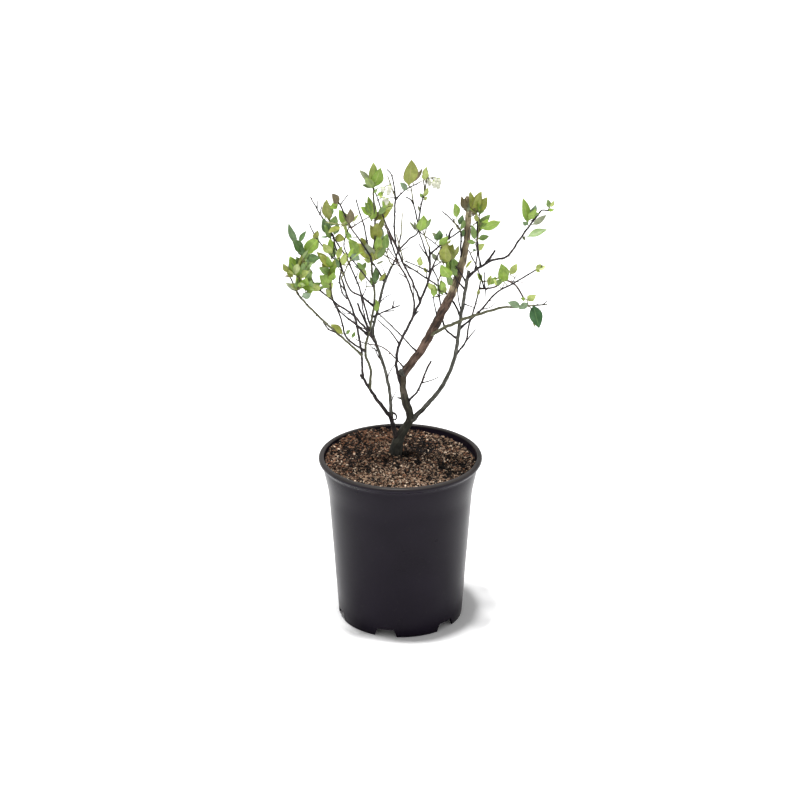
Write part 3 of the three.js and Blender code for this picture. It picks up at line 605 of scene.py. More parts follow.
# What the bark of each kind is like: how deep its furrows and lumps are as shares of the
# radius, how long its furrows run, and the distance and height of the nodes where buds sit.
BARKS = {
    "old": {"furrow": 0.12, "lump": 0.06, "run": 30, "node": 61, "swell": 0.03},
    "grey": {"furrow": 0.08, "lump": 0.05, "run": 18, "node": 33, "swell": 0.06},
    "dark": {"furrow": 0.03, "lump": 0.04, "run": 12, "node": 17, "swell": 0.16},
    "brown": {"furrow": 0.03, "lump": 0.04, "run": 12, "node": 15, "swell": 0.14},
    "green": {"furrow": 0.02, "lump": 0.03, "run": 14, "node": 21, "swell": 0.12},
}
BARK_STEP = {"stout": 3, "thick": 1.5, "thin": 2.4}  # from ring to ring, stout or thinner
BARK_SIDES = [[8, 40], [4, 24], [2, 14], [0, 9]]  # from this diameter up: corners of a ring
COLLAR = {"swell": 0.5, "stout": 0.16, "reach": 1.6}  # a limb's foot, as shares of its radius
STOUT = 4  # a limb this thick at its foot grows out of its parent with a slighter collar
ROOT_FLARE = {"swell": -0.17, "reach": 7, "ridges": 3, "ridge": 0.1, "turn": 0.6}
# How far a limb strays from its line as a share of its radius, which counts up to most, over
# what length, how little near its ends and how far apart the noise of its axes lies.
KINK = {"share": 0.3, "most": 1.6, "run": 9, "ends": 8, "apart": 7.7}
# The noise of the bark: the radius at which it is read, how close it lies round the limb, how
# long a lump is and how far apart the limbs lie in it.
BARK_NOISE = {"share": 0.9, "least": 0.8, "furrow": 1.1, "lump": 0.45, "lump_run": 5,
              "furrow_seed": 3.1, "lump_seed": 1.7, "node_seed": 0.37}
# The rings of a limb's rounded tip: how far out and how stout, in radii of its end.
TIP_RINGS = [(0.35, 0.75), (0.55, 0.3)]
STREAKS_APART = 97  # millimetres along the streaks from one limb's bark to the next one's


def fine_line(limb, seed):
    """The centres and radii of a limb's fine rings, with its slight kinks and its collar."""
    step = BARK_STEP["thick"] if limb.thick[0] > BARK_STEP["stout"] else BARK_STEP["thin"]
    count = max(4, round(limb.length / step))
    travelled = np.linspace(0, limb.length, count + 1)
    shares = [limb.share_at(distance) for distance in travelled]
    centres, radii = [], []
    for distance, share in zip(travelled, shares):
        radius = limb.radius(share)
        stray = np.array([noise.noise(Vector((distance / KINK["run"], seed, KINK["apart"] * axis)))
                          for axis in range(3)])
        ends = min(1, distance / KINK["ends"], (limb.length - distance) / KINK["ends"])
        stray = stray * min(radius, KINK["most"]) * KINK["share"] * ends * 2
        centres.append(limb.at(share) + stray)
        radii.append(radius)
    return np.array(centres), np.array(radii), travelled


def bark_relief(limb, travelled, radii, seed, parent_radius):
    """A function that gives the share by which the bark stands out at a ring's turns."""
    kind = BARKS[limb.bark]

    def relief(i, turns):
        distance, radius = travelled[i], radii[i]
        round_it = radius * BARK_NOISE["share"] + BARK_NOISE["least"]
        fine, coarse = BARK_NOISE["furrow"], BARK_NOISE["lump"]
        shares = np.zeros(len(turns))
        for k, turn in enumerate(turns):
            x, y = math.cos(turn) * round_it, math.sin(turn) * round_it
            up_furrows = distance / kind["run"] + seed * BARK_NOISE["furrow_seed"]
            up_lumps = distance / BARK_NOISE["lump_run"] + seed * BARK_NOISE["lump_seed"]
            long_way = Vector((x * fine, y * fine, up_furrows))
            lumps = Vector((x * coarse, y * coarse, up_lumps))
            furrow = abs(noise.noise(long_way)) * 2 - 0.5
            shares[k] = kind["furrow"] * furrow + kind["lump"] * noise.noise(lumps)
        off = (distance / kind["node"] + BARK_NOISE["node_seed"] * seed) % 1 - 0.5
        shares += kind["swell"] * math.exp(-((off * kind["node"]) ** 2))
        if limb.name == "trunk":
            ridges = np.cos(ROOT_FLARE["ridges"] * turns + ROOT_FLARE["turn"])
            ridge = ROOT_FLARE["ridge"] * ridges
            shares += (ROOT_FLARE["swell"] + ridge) * math.exp(-distance / ROOT_FLARE["reach"])
        else:
            out = max(0, distance - parent_radius) / (COLLAR["reach"] * radii[0] * 2)
            swell = COLLAR["stout" if limb.thick[0] >= STOUT else "swell"]
            shares += swell * math.exp(-(out**2))
        return shares

    return relief


def bark_sides(limb):
    return next(sides for thick, sides in BARK_SIDES if max(limb.thick[1:]) >= thick)


def parent_radius(name, limbs):
    """The radius of a limb's parent at the place that it leaves."""
    leaves = {**LIMBS, **TWIGS, **DRAWN_TWIGS}[name][1]
    if not leaves:
        return 0
    parent = limbs[leaves[0]]
    return parent.radius(leaves[1] / parent.stretches)


def grow_bark(heap, limb, seed, from_radius):
    """Adds a limb's bark to a heap, with a rounded tip."""
    centres, radii, travelled = fine_line(limb, seed)
    relief = bark_relief(limb, travelled, radii, seed, from_radius)
    ahead = unit(centres[-1] - centres[-2])
    tip = [centres[-1] + ahead * radii[-1] * out for out, _ in TIP_RINGS]
    all_centres = np.vstack([centres, tip])
    all_radii = np.concatenate([radii, [radii[-1] * stout for _, stout in TIP_RINGS]])

    def with_tip(i, turns):
        return relief(min(i, len(centres) - 1), turns)

    sides = bark_sides(limb)
    turns = np.linspace(0, 2 * math.pi, sides, endpoint=False)
    distances_along = np.concatenate([travelled, [limb.length] * len(TIP_RINGS)])
    distances_along = distances_along + STREAKS_APART * seed
    round_it = np.column_stack([np.cos(turns), np.sin(turns)])
    along = np.vstack([np.column_stack([round_it * limb.radius(0.5), np.full(sides, distance)])
                       for distance in distances_along])
    heap.add(*tube(all_centres, all_radii, sides, with_tip, limb.name == "trunk"), along=along)


BUD = {"length": 2.2, "radius": 0.6, "lean_deg": 30, "gap": 17, "first": 9, "last": 2,
       "sunk": 0.8, "sides": 6}
BUD_PROFILE = [(0, 0.7), (0.4, 1), (0.8, 0.5), (1, 0.1)]  # shares of its length and radius
BUDDED = {"thinner": 6, "longer": 20}  # limbs thinner and twigs longer than this have buds


def grow_buds(heap, limb, seed):
    """Adds a pointed bud at each node of a thin limb, each a golden turn from the last."""
    distance, k = BUD["first"], seed
    while distance < limb.length - BUD["last"]:
        share = limb.share_at(distance)
        heading = limb.heading(share)
        out = branching(heading, k * GOLDEN_TURN, math.radians(90), 0)
        lean = math.radians(BUD["lean_deg"])
        ahead = heading * math.cos(lean) + out * math.sin(lean)
        foot = limb.at(share) + out * limb.radius(share) * BUD["sunk"]
        size = 0.8 + 0.4 * (noise.noise(Vector((distance, seed, 0))) + 0.5)
        centres = np.array([foot + ahead * BUD["length"] * size * s for s, _ in BUD_PROFILE])
        radii = np.array([radius for _, radius in BUD_PROFILE]) * BUD["radius"] * size
        heap.add(*tube(centres, radii, BUD["sides"]))
        distance += BUD["gap"] * (0.8 + 0.4 * size)
        k += 1


def grow_side_twigs(limbs):
    """Thin twigs by rule along the limbs that reach to the back and the sides."""
    grown = {}
    for name in SIDE_TWIG_LIMBS:
        limb = limbs[name]
        draw = seeded(len(name) + limb.stretches)
        distance = SIDE_TWIGS["first"]
        while distance < limb.length - SIDE_TWIGS["last"]:
            share = limb.share_at(distance)
            turn = 2 * math.pi * draw()
            spread = math.radians(SIDE_TWIGS["spread"] * (0.7 + 0.6 * draw()))
            way = branching(limb.heading(share), turn, spread, SIDE_TWIGS["lift"])
            length = SIDE_TWIGS["length"] * (0.5 + 0.8 * draw())
            bent = math.radians(SIDE_TWIGS["bend_deg"])
            bend = branching(way, 2 * math.pi * draw(), bent, SIDE_TWIGS["bend_lift"])
            twig = f"{name}_side{len(grown)}"
            near, far = SIDE_TWIGS["stretches"]
            grows = [way * length * near, bend * length * far]
            thick = [SIDE_TWIGS["thick"], SIDE_TWIGS["thick"] * SIDE_TWIGS["taper"]]
            grown[twig] = Limb(twig, "dark", limb.at(share), thick, grows)
            distance += SIDE_TWIGS["gap"] * (0.6 + 0.8 * draw())
    return grown


# ---- Leaves and bells -------------------------------------------------------------------------

# A blade is a closed grid of stations and columns, in shares of its length and half width.
BLADE = {"stations": 9, "columns": [-1, -0.9, -0.06, 0.06, 0.9, 1], "thick": 0.24,
         "petiole": 0.08, "fold": 0.2, "curl": 0.13, "curl_late": 2.2, "wave": 0.07, "waves": 9,
         "bunched": 1.05, "full": 0.85, "least": 0.035}
TOP, UNDER, RIB, RIM = range(4)


def blade_faces():
    """The faces of every blade, and which finish each of them takes."""
    rows, columns = BLADE["stations"], len(BLADE["columns"])
    count = rows * columns

    def below(i, j):
        edge = j in (0, columns - 1)
        return i * columns + j if edge else count + i * (columns - 2) + j - 1

    faces, finishes = [], []
    for i in range(rows - 1):
        for j in range(columns - 1):
            a = i * columns + j
            faces.append((a, a + columns, a + columns + 1, a + 1))
            outer = j in (0, columns - 2)
            finishes.append(RIB if j == columns // 2 - 1 else RIM if outer else TOP)
            faces.append((below(i, j), below(i, j + 1), below(i + 1, j + 1), below(i + 1, j)))
            finishes.append(RIB if j == columns // 2 - 1 else RIM if outer else UNDER)
    for i in (0, rows - 1):
        top = [i * columns + j for j in range(columns)]
        bottom = [below(i, j) for j in range(columns - 2, 0, -1)]
        loop = top + bottom
        faces.append(tuple(loop if i == 0 else loop[::-1]))
        finishes.append(UNDER)
    return faces, finishes


BLADE_FACES, BLADE_FINISHES = blade_faces()


def blade_points(root, ahead, across, length, width, twist):
    """The points of one blade: folded along its midrib, curled to its tip and a little wavy."""
    t = np.linspace(0, 1, BLADE["stations"]) ** BLADE["bunched"]
    s = np.clip((t - BLADE["petiole"]) / (1 - BLADE["petiole"]), 0, 1)
    full = np.sin(np.pi * s**0.9) ** BLADE["full"] * (1 - 0.1 * s)
    half = np.maximum(full, BLADE["least"]) * width / 2
    columns = np.array(BLADE["columns"])
    x = np.repeat(t * length, len(columns))
    y = np.outer(half, columns).ravel()
    lift = BLADE["fold"] * np.abs(y)
    waves = np.sin(BLADE["waves"] * x / length + 3 * twist + np.sign(y) * 0.8)
    lift += BLADE["wave"] * np.abs(y) * waves
    curl = BLADE["curl"] * length * (x / length) ** BLADE["curl_late"] * (0.3 + 0.9 * twist)
    z = lift - curl
    face = np.cross(ahead, across)
    top = root + np.outer(x, ahead) + np.outer(y, across) + np.outer(z, face)
    inner = np.tile((np.abs(columns) < 1), BLADE["stations"])
    return np.vstack([top, top[inner] - face * BLADE["thick"]])


class Foliage:
    """Leaves of every tint, the twigs that carry them and their flowers."""

    def __init__(self):
        self.leaves = {tint: Heap() for tint in TINTS}
        self.twigs = Heap()
        self.bells = Heap()
        self.count = 0

    def leaf(self, root, ahead, across, length, tint, width=LEAF["width"]):
        across = unit(across - ahead * across.dot(ahead))
        twist = (self.count * GOLDEN_SHARE) % 1
        points = blade_points(root, ahead, across, length, length * width, twist)
        self.leaves[tint].add(points, BLADE_FACES, list(BLADE_FINISHES))
        self.count += 1

    def twig(self, places, first, last):
        """A thin twig through places, swollen a little where it starts."""
        shares = np.linspace(0, 1, len(places))
        radii = first + (last - first) * shares
        radii[0] *= TWIG["swollen"]
        self.twigs.add(*tube(np.array(places), radii, TWIG["sides"]))

    def bell(self, root, neck, size=1.0):
        """A hanging flower: its stalk, its green crown and its urn with a flared mouth."""
        outward = unit(neck - root)
        bend = root * 0.4 + neck * 0.6 + UP * 0.6
        down = unit(outward * 0.22 - UP)
        line = [root, bend, neck + down * 0.8]
        self.twig(line, BELL["stalk_foot"], BELL["stalk_neck"])
        shares = np.array([share for share, _ in BELL_PROFILE]) * BELL["length"] * size
        radii = np.array([radius for _, radius in BELL_PROFILE]) * BELL["radius"] * size
        centres = neck + np.outer(shares, down)
        sides = BELL["sides"]
        points, faces = tube(centres, np.maximum(radii, 0.05), sides)
        green = sum(share < BELL["crown"] for share, _ in BELL_PROFILE[:-2]) * sides - sides
        finish = [1 if n < green else 0 for n in range(len(faces) - 2)] + [1, 0]
        self.bells.add(points, faces, finish)


# An urn as [share of its length, share of its radius], round its mouth and back inside.
BELL_PROFILE = [(0, 0.3), (0.05, 0.5), (0.14, 0.56), (0.2, 0.78), (0.36, 0.98), (0.55, 1),
                (0.72, 0.86), (0.84, 0.62), (0.9, 0.56), (1, 0.74), (0.98, 0.5), (0.8, 0.42)]

# Each tint: the colour of a blade above, below, at its rib and at its rim.
TINTS = {
    "bright": ((0.214, 0.335, 0.043), (0.214, 0.288, 0.089),
               (0.306, 0.384, 0.095), (0.199, 0.265, 0.037)),
    "light": ((0.336, 0.406, 0.104), (0.312, 0.369, 0.149),
              (0.407, 0.442, 0.176), (0.312, 0.354, 0.088)),
    "mid": ((0.152, 0.245, 0.058), (0.173, 0.234, 0.089),
            (0.231, 0.296, 0.096), (0.152, 0.205, 0.048)),
    "olive": ((0.217, 0.247, 0.038), (0.2, 0.215, 0.071),
              (0.266, 0.274, 0.071), (0.179, 0.149, 0.038)),
    "bronze": ((0.1432, 0.1163, 0.053), (0.1581, 0.1274, 0.0828),
               (0.2027, 0.1655, 0.0828), (0.1209, 0.0679, 0.0409)),
    # The dark tint is the leaves' green with shade painted into it. It goes to leaves that show in
    # the crown's shade and is also dealt among the others.
    "dark": ((0.075, 0.143, 0.041), (0.107, 0.171, 0.075),
             (0.128, 0.199, 0.068), (0.075, 0.106, 0.034)),
    "deep": ((0.031, 0.098, 0.029), (0.068, 0.143, 0.058),
             (0.078, 0.169, 0.051), (0.031, 0.089, 0.029)),
    "teal": ((0.173, 0.2483, 0.1432), (0.1888, 0.2334, 0.1581),
             (0.2334, 0.2939, 0.173), (0.1581, 0.2027, 0.1209)),
    "grey": ((0.206, 0.235, 0.136), (0.184, 0.193, 0.13),
             (0.228, 0.241, 0.146), (0.157, 0.126, 0.082)),
}
DEAL = ["bright", "mid", "light", "bright", "olive", "mid", "bright", "dark", "light", "mid"]

# Leaves that show, as places in the 800-pixel picture: tip, foot, width across and tint.
SEEN_LEAVES = [
    # the top on the left
    (374, 162, 372, 184, 7.5, "light"), (381, 170, 373, 188, 10, "bright"),
    (360, 169, 371, 184, 5, "grey"), (362, 184, 371, 188, 3, "mid"),
    (374, 193, 377, 189, 3, "mid"), (385, 188, 381, 194, 3, "bright"),
    (377, 196, 382, 192, 3, "bright"), (379, 198, 383, 194, 3, "light"),
    (393, 204, 385, 209, 6, "light"), (383, 201, 386, 208, 5, "bright"),
    (369, 196, 371, 213, 5, "bright"), (362, 207, 371, 215, 6, "bright"),
    (374, 204, 371, 221, 8, "bright"), (391, 209, 376, 220, 7, "olive"),
    (381, 210, 376, 221, 5, "bronze"), (377, 223, 378, 239, 9, "olive"),
    (386, 234, 385, 250, 7, "mid"), (381, 241, 375, 260, 9, "light"),
    (351, 240, 358, 255, 9, "bright"), (357, 242, 371, 260, 9, "olive"),
    (366, 245, 373, 256, 8, "grey"), (350, 254, 360, 260, 6, "teal"),
    (364, 259, 371, 262, 4, "light"), (384, 261, 376, 264, 2, "grey"),
    (354, 266, 361, 268, 3, "teal"), (364, 267, 361, 282, 7, "light"),
    (376, 268, 375, 284, 6, "dark"), (387, 273, 379, 281, 4, "olive"),
    # the upper left
    (333, 194, 338.5, 204, 6.5, "bronze"), (330.5, 207.5, 338, 204.5, 6.5, "bright"),
    (325, 201, 329, 221, 8, "olive"), (322, 219, 331, 236, 8, "dark"),
    (336, 217, 331, 226, 7, "mid"), (340, 210, 347, 226, 8, "bright"),
    (351, 209, 349, 225, 7, "bronze"), (358, 214, 353, 222, 2, "light"),
    (344, 239, 335, 237, 8, "olive"), (320, 237, 328, 237, 2, "teal"),
    (330, 238, 332, 252, 6, "bright"), (323, 244, 332, 254, 7, "light"),
    (346, 232, 352, 238, 3, "mid"), (343, 224, 347, 231, 3, "light"),
    # the far left
    (288, 224, 297, 246, 5.5, "dark"), (293, 240, 303, 252, 8, "dark"),
    (297, 244, 305, 257, 7, "dark"), (305.5, 230, 299, 243, 4, "dark"),
    (318, 238, 305, 253, 11, "bright"), (318, 231, 314, 239, 5, "olive"),
    (320, 258, 306, 258, 7, "dark"), (317, 261, 307, 264, 3, "mid"),
    (290, 256, 297, 273, 8, "bright"), (302, 255, 300, 271, 6, "olive"),
    (296, 262, 299, 276, 6, "bright"), (283, 264, 289, 273, 5, "olive"),
    (287, 269, 293, 277, 6, "olive"), (284, 276, 292, 276, 2, "bronze"),
    (286, 281.5, 296, 291.5, 4, "grey"), (308, 271, 299, 277, 6, "light"),
    (307, 279, 300, 289, 8, "bright"), (297, 274, 301, 288, 6, "light"),
    (305, 266, 311, 277, 7, "dark"), (311, 272, 306, 283, 6, "mid"),
    (312, 281, 305, 291, 7, "mid"), (311, 284, 320, 291, 7, "light"),
    (320, 283, 311, 287, 5, "mid"), (325, 286, 319, 289, 3, "mid"),
    (311, 294, 302, 297, 6, "teal"), (303, 262, 303, 277, 6, "mid"),
    # the left, further in
    (319, 252, 330, 268, 7, "olive"), (340, 257, 332, 269, 7, "light"),
    (346, 253, 342, 265, 6, "light"), (321, 268, 330, 273, 8, "mid"),
    (335, 266, 330, 276, 6, "bright"), (321, 276, 330, 287, 10, "bright"),
    (334, 273, 330, 281, 6, "bright"), (327, 290, 331, 297, 5, "light"),
    (334, 276, 332, 280, 3, "dark"), (332, 324, 343, 334, 6, "olive"),
    (350, 330, 346, 334, 3, "mid"), (355, 332, 352, 338, 3, "mid"),
    (377, 300, 376, 312, 5, "bright"), (366, 262, 362, 270, 4, "mid"),
    # the top in the middle
    (412.8, 162, 408.6, 186, 12, "olive"), (423.5, 169, 413, 182.5, 3, "bronze"),
    (400.5, 182.3, 407.5, 190.5, 5, "teal"), (426, 167, 425, 180, 5, "light"),
    (429, 173, 425, 180, 3, "light"), (423, 173, 424, 180, 3, "light"),
    (428, 188, 424, 197, 4, "light"), (419, 193, 424, 198, 3, "mid"),
    (427, 197, 424, 200, 3, "light"), (418, 205, 420, 212, 2, "grey"),
    (424, 216, 420, 231, 9, "bright"), (432, 219, 421, 231, 4, "mid"),
    (410, 221, 416, 231, 2, "grey"), (414, 221, 417, 231, 2, "grey"),
    (440, 231, 437, 241, 7, "dark"), (432, 232, 437, 238, 3, "grey"),
    (448, 237, 439, 245, 6, "bright"), (451, 240, 447, 244, 2, "olive"),
    # the middle
    (445, 243, 446, 263, 12, "olive"), (452, 245, 450, 260, 9, "olive"),
    (459, 246, 453, 258, 4, "olive"), (431, 253, 439, 261, 4, "grey"),
    (420, 257, 420, 266, 5, "light"), (424, 267, 427, 273, 3, "olive"),
    (441, 267, 451, 278, 9, "bright"), (447, 277, 452, 285, 6, "mid"),
    (448, 259, 450, 272, 6, "bright"), (455, 258, 457, 276, 7, "mid"),
    (441, 281, 444, 291, 6, "bright"), (427, 283, 435, 290, 5, "light"),
    (434, 284, 434, 297, 6, "bright"), (447, 288, 443, 293, 3, "light"),
    (456, 293, 452, 298, 3, "olive"), (472, 259, 465, 269, 2, "olive"),
    # by the top of the trunk
    (456, 204, 457, 218, 6, "bright"), (463, 215, 459, 225, 5, "dark"),
    (462, 196, 463, 209, 4, "bronze"), (471, 191, 473, 212, 5, "olive"),
    (467, 195, 466, 207, 4, "bronze"), (464, 200, 466, 211, 4, "bronze"),
    (469, 201, 468, 213, 3, "grey"), (478, 196, 472, 214, 5, "olive"),
    (481, 191, 474, 213, 8, "olive"), (487, 197, 480, 212, 7, "olive"),
    (484, 203, 479, 215, 5, "mid"), (489, 214, 480, 228, 6, "mid"),
    (482, 217, 479, 233, 6, "bright"), (501, 222, 480, 229, 7, "bright"),
    (472, 225, 475, 240, 5, "mid"), (489, 236, 478, 239, 5, "mid"),
    (484, 244, 477, 250, 5, "light"), (472, 250, 476, 250, 2, "dark"),
    (468, 241, 475, 243, 4, "mid"), (476, 214, 477, 222, 4, "olive"),
    (465, 220, 461, 230, 4, "mid"), (464, 229, 461, 238, 4, "dark"),
    # the far right
    (524, 198, 528, 224, 7, "bright"), (536.5, 205, 530.5, 216, 5, "teal"),
    (536, 209, 529, 220, 6, "bright"), (539, 213, 533, 215, 3, "mid"),
    (523, 222, 528, 225, 4, "dark"), (547, 215, 532, 225, 5, "grey"),
    (547, 228, 527, 237, 6, "mid"), (525, 240, 523, 237, 3, "grey"),
    (548, 199, 549, 208, 4, "mid"), (554, 201, 551, 207, 3, "light"),
    (554, 210, 548, 210, 3, "bright"),
    # the right, further down
    (503, 266, 504, 282, 10, "bright"), (501, 279, 497, 285, 5, "mid"),
    (517, 264, 510, 275, 6, "light"), (496, 277, 489, 285, 5, "bright"),
    (491, 275, 488, 286, 4, "light"), (478, 273, 482, 281, 4, "bright"),
    (479, 289, 478, 295, 3, "olive"), (546, 266, 537, 270, 4, "light"),
    (541, 264, 536, 270, 4, "light"), (540, 272, 536, 270, 3, "light"),
    # on the arching bough
    (508, 302, 521, 307, 6, "teal"), (519, 309, 528, 303, 6, "teal"),
    (535, 296, 527, 300, 6, "light"), (521, 298, 525, 300, 3, "bright"),
    # smaller ones that fill the clusters, from the far left to the right
    (293, 265, 299, 277, 6, "mid"), (304, 266, 297, 280, 6, "bright"),
    (300, 279, 296, 290, 6, "mid"), (297, 257, 301, 269, 6, "mid"),
    (304, 284, 312, 292, 5, "mid"), (291, 283, 299, 290, 4, "light"),
    (314, 289, 306, 293, 4, "bright"), (289, 262, 294, 272, 5, "mid"),
    (309, 248, 303, 260, 6, "mid"), (314, 256, 306, 262, 4, "dark"),
    (329, 204, 332, 216, 5, "mid"), (338, 223, 334, 235, 6, "mid"),
    (325, 225, 331, 239, 6, "mid"), (335, 247, 331, 259, 5, "mid"),
    (342, 246, 337, 259, 5, "light"), (327, 257, 332, 269, 5, "bright"),
    (325, 274, 331, 284, 6, "bright"), (332, 282, 329, 292, 4, "light"),
    (384, 218, 378, 231, 5, "olive"), (385, 199, 391, 206, 4, "light"),
    (382, 227, 379, 241, 6, "teal"), (371, 225, 375, 241, 6, "olive"),
    (386, 204, 379, 215, 5, "mid"), (366, 202, 371, 214, 5, "mid"),
    (361, 237, 367, 251, 6, "olive"), (380, 235, 376, 251, 6, "bright"),
    (350, 250, 357, 259, 5, "mid"), (369, 249, 372, 263, 7, "olive"),
    (385, 245, 378, 259, 6, "mid"), (357, 262, 363, 270, 4, "mid"),
    (371, 277, 374, 287, 4, "mid"), (442, 249, 447, 265, 6, "mid"),
    (453, 261, 455, 277, 6, "mid"), (449, 255, 455, 269, 5, "mid"),
    (438, 284, 443, 295, 5, "mid"), (479, 203, 473, 216, 5, "bronze"),
    (539, 327.5, 533.2, 304.5, 13.4, "deep"),
]
# Flowers that show: the place of the neck in the picture and the size.
SEEN_BELLS = [(433.6, 180, 1.15), (437, 180.6, 1.2), (439, 178, 0.9), (435.4, 177.5, 0.8),
              (382, 187, 0.8), (384.4, 186.6, 0.8), (384, 197, 0.95), (387.4, 198, 1)]
PICTURE = 800
FLOWERS_WITHIN = 7  # pixels round a flower that shows, for the others of its cluster
SEEN_BROADER = 1.12  # a blade's fold and roll make it look this much narrower than its width
SHOWS_WITHIN = 0.6  # pixels round a leaf that shows, for the leaves that stand behind it
SHOWS_BLUNT = 0.7  # how blunt its outline is taken to be, and how far it reaches from its middle
SHOWS_REACH = 0.53


class Picture:
    """The camera's picture, from places in the frame of the pot's axis to pixels and back."""

    def __init__(self):
        down = math.radians(CAMERA["down_deg"])
        self.eye = vec(CAMERA["right"], CAMERA["back"], CAMERA["up"])
        self.ahead = vec(0, math.cos(down), -math.sin(down))
        self.up = vec(0, math.sin(down), math.cos(down))
        self.focal = CAMERA["lens"] / CAMERA["sensor"] * PICTURE

    def pixels(self, points):
        away = np.asarray(points) - self.eye
        depth = away @ self.ahead
        across = PICTURE / 2 + self.focal * away @ RIGHT / depth
        return np.column_stack([across, PICTURE / 2 - self.focal * away @ self.up / depth])

    def place(self, u, v, back):
        """The place that a pixel shows at a distance behind the pot's axis."""
        way = self.ahead + RIGHT * (u - PICTURE / 2) / self.focal
        way = way + self.up * (PICTURE / 2 - v) / self.focal
        return self.eye + way * (back - self.eye[1]) / way[1]


class Carriers:
    """Places all along the limbs and twigs, to find what carries a leaf that shows."""

    def __init__(self, limbs, picture):
        self.picture = picture
        self.places, self.pixels = np.empty((0, 3)), np.empty((0, 2))
        for limb in limbs:
            places = np.array([limb.at(share) for share in CARRIER_SHARES])
            radii = np.array([limb.radius(share) for share in CARRIER_SHARES])
            to_front = radii * (radii > CARRIER_FRONT)
            self.grow(places - np.outer(to_front, [0, 1, 0]))

    def grow(self, places):
        """Adds places that can carry a leaf."""
        self.places = np.vstack([self.places, places])
        self.pixels = np.vstack([self.pixels, self.picture.pixels(places)])

    def nearest(self, u, v, away_from=()):
        """The nearest carrier in the picture, and how far off it is. A twig grows upwards, so a
        carrier above the pixel counts as further off. One away from depths can be asked for."""
        off = self.pixels - [u, v]
        away = np.hypot(off[:, 0], off[:, 1] * np.where(off[:, 1] < 0, UPWARDS, 1))
        for depth in away_from:
            away = away + OUT_OF_REACH * (np.abs(self.places[:, 1] - depth) < PARTNER["depth"])
        return self.places[away.argmin()], away.min()


CARRIER_SHARES = np.linspace(0.04, 1, 40)
CARRIER_FRONT = 2  # on a limb with a larger radius, the places lie on its front
MASS_SHARES = (0.2, 0.4, 0.6, 0.8, 1)  # and the places on the stem of a mass
OUT_OF_REACH = 1000  # pixels
PIXEL = 1.36  # millimetres of a leaf's width for one of the picture's pixels
STOUTEST = 0.56  # a leaf's width as a share of its length; one that shows stouter points forward
UPWARDS = 2.2  # how much further off a carrier counts that lies above a leaf's foot
# A second leaf in line with one that shows, this far in front of or behind it at least and on a
# carrier that passes within so many pixels, so that the crown is as full from its sides. Only a
# leaf wider than so many pixels has one.
PARTNER = {"count": 3, "depth": 20, "within": 8, "size": 0.86, "wider": 3}
# How a leaf that shows leans back or forward, and the short twig that leads to its foot.
LEAN = {"range": 0.75, "forward": 0.45, "stout": 0.9}
LEAD = {"from": 0.8, "rise": 0.4, "foot": 0.9, "tip": 0.6}
NARROWEST = 0.32  # a leaf's width as a share of its length
ROLLS = {"broader": 1.2, "back": 0.3}  # room for its roll, and how often it rolls the other way


def grow_seen_leaves(foliage, carriers, picture):
    """The leaves that show, each on the twig that passes its foot or on a short one from it."""
    draw = seeded(41)
    by_twig = sorted(SEEN_LEAVES, key=lambda leaf: carriers.nearest(*leaf[2:4])[1])
    for u, v, foot_u, foot_v, wide, tint in by_twig:
        carrier, _ = carriers.nearest(foot_u, foot_v)
        leaf = (u, v, foot_u, foot_v, wide)
        grow_seen_leaf(foliage, carriers, picture, carrier, leaf, tint, draw)
        size, taken = PARTNER["size"], [carrier[1]]
        tip = (foot_u + (u - foot_u) * size, foot_v + (v - foot_v) * size)
        leaf = (*tip, foot_u, foot_v, wide * size)
        for _ in range(PARTNER["count"]):
            partner, off = carriers.nearest(foot_u, foot_v, taken)
            if off < PARTNER["within"] and wide > PARTNER["wider"]:
                grow_seen_leaf(foliage, carriers, picture, partner, leaf, tint, draw)
                taken.append(partner[1])


def grow_seen_leaf(foliage, carriers, picture, carrier, leaf, tint, draw):
    """One leaf that shows, as a place in the picture, on its carrier."""
    u, v, foot_u, foot_v, wide = leaf
    wide = wide * SEEN_BROADER
    foot = picture.place(foot_u, foot_v, carrier[1])
    seen = np.linalg.norm(picture.place(u, v, carrier[1]) - foot)
    lean = (LEAN["range"] * draw() - LEAN["forward"]) * seen
    full = wide * PIXEL / STOUTEST
    if full > seen:
        lean = -math.sqrt(full**2 - seen**2) * LEAN["stout"]
    tip = picture.place(u, v, carrier[1] + lean)
    length = np.linalg.norm(tip - foot)
    ahead = (tip - foot) / length
    if np.linalg.norm(carrier - foot) > LEAD["from"]:
        middle = (carrier + foot) / 2 + UP * LEAD["rise"]
        line = [carrier, middle, foot]
        foliage.twig(line, TWIG["tip"] * LEAD["foot"], TWIG["tip"] * LEAD["tip"])
        carriers.grow([middle, foot])
    viewer = unit(picture.eye - foot)
    facing = unit(np.cross(viewer, ahead))
    width = max(NARROWEST, min(STOUTEST, wide * PIXEL / length * ROLLS["broader"]))
    share = min(1, wide * PIXEL / (length * width))
    roll = math.acos(share) * (1 if draw() > ROLLS["back"] else -1)
    across = facing * math.cos(roll) + np.cross(ahead, facing) * math.sin(roll)
    if np.cross(ahead, across).dot(viewer) < 0:
        across = -across
    foliage.leaf(foot - ahead * LEAF["sunk"], ahead, across, length, tint, width)


def leaf_points(root, ahead, roll, length):
    """The source's points of a leaf."""
    side, other = square_to(ahead)
    across = side * math.cos(roll) + other * math.sin(roll)
    face = np.cross(ahead, across)
    middle = root + ahead * length * LEAF["widest"]
    half = length * LEAF["width"] / 2
    sunk = length * LEAF["width"] * LEAF["fold"]
    above, below = LEAF["thick"] / 2 - sunk, -LEAF["thick"] / 2 - sunk
    return [root, root + ahead * length, middle + across * half, middle - across * half,
            middle + face * above, middle + face * below]


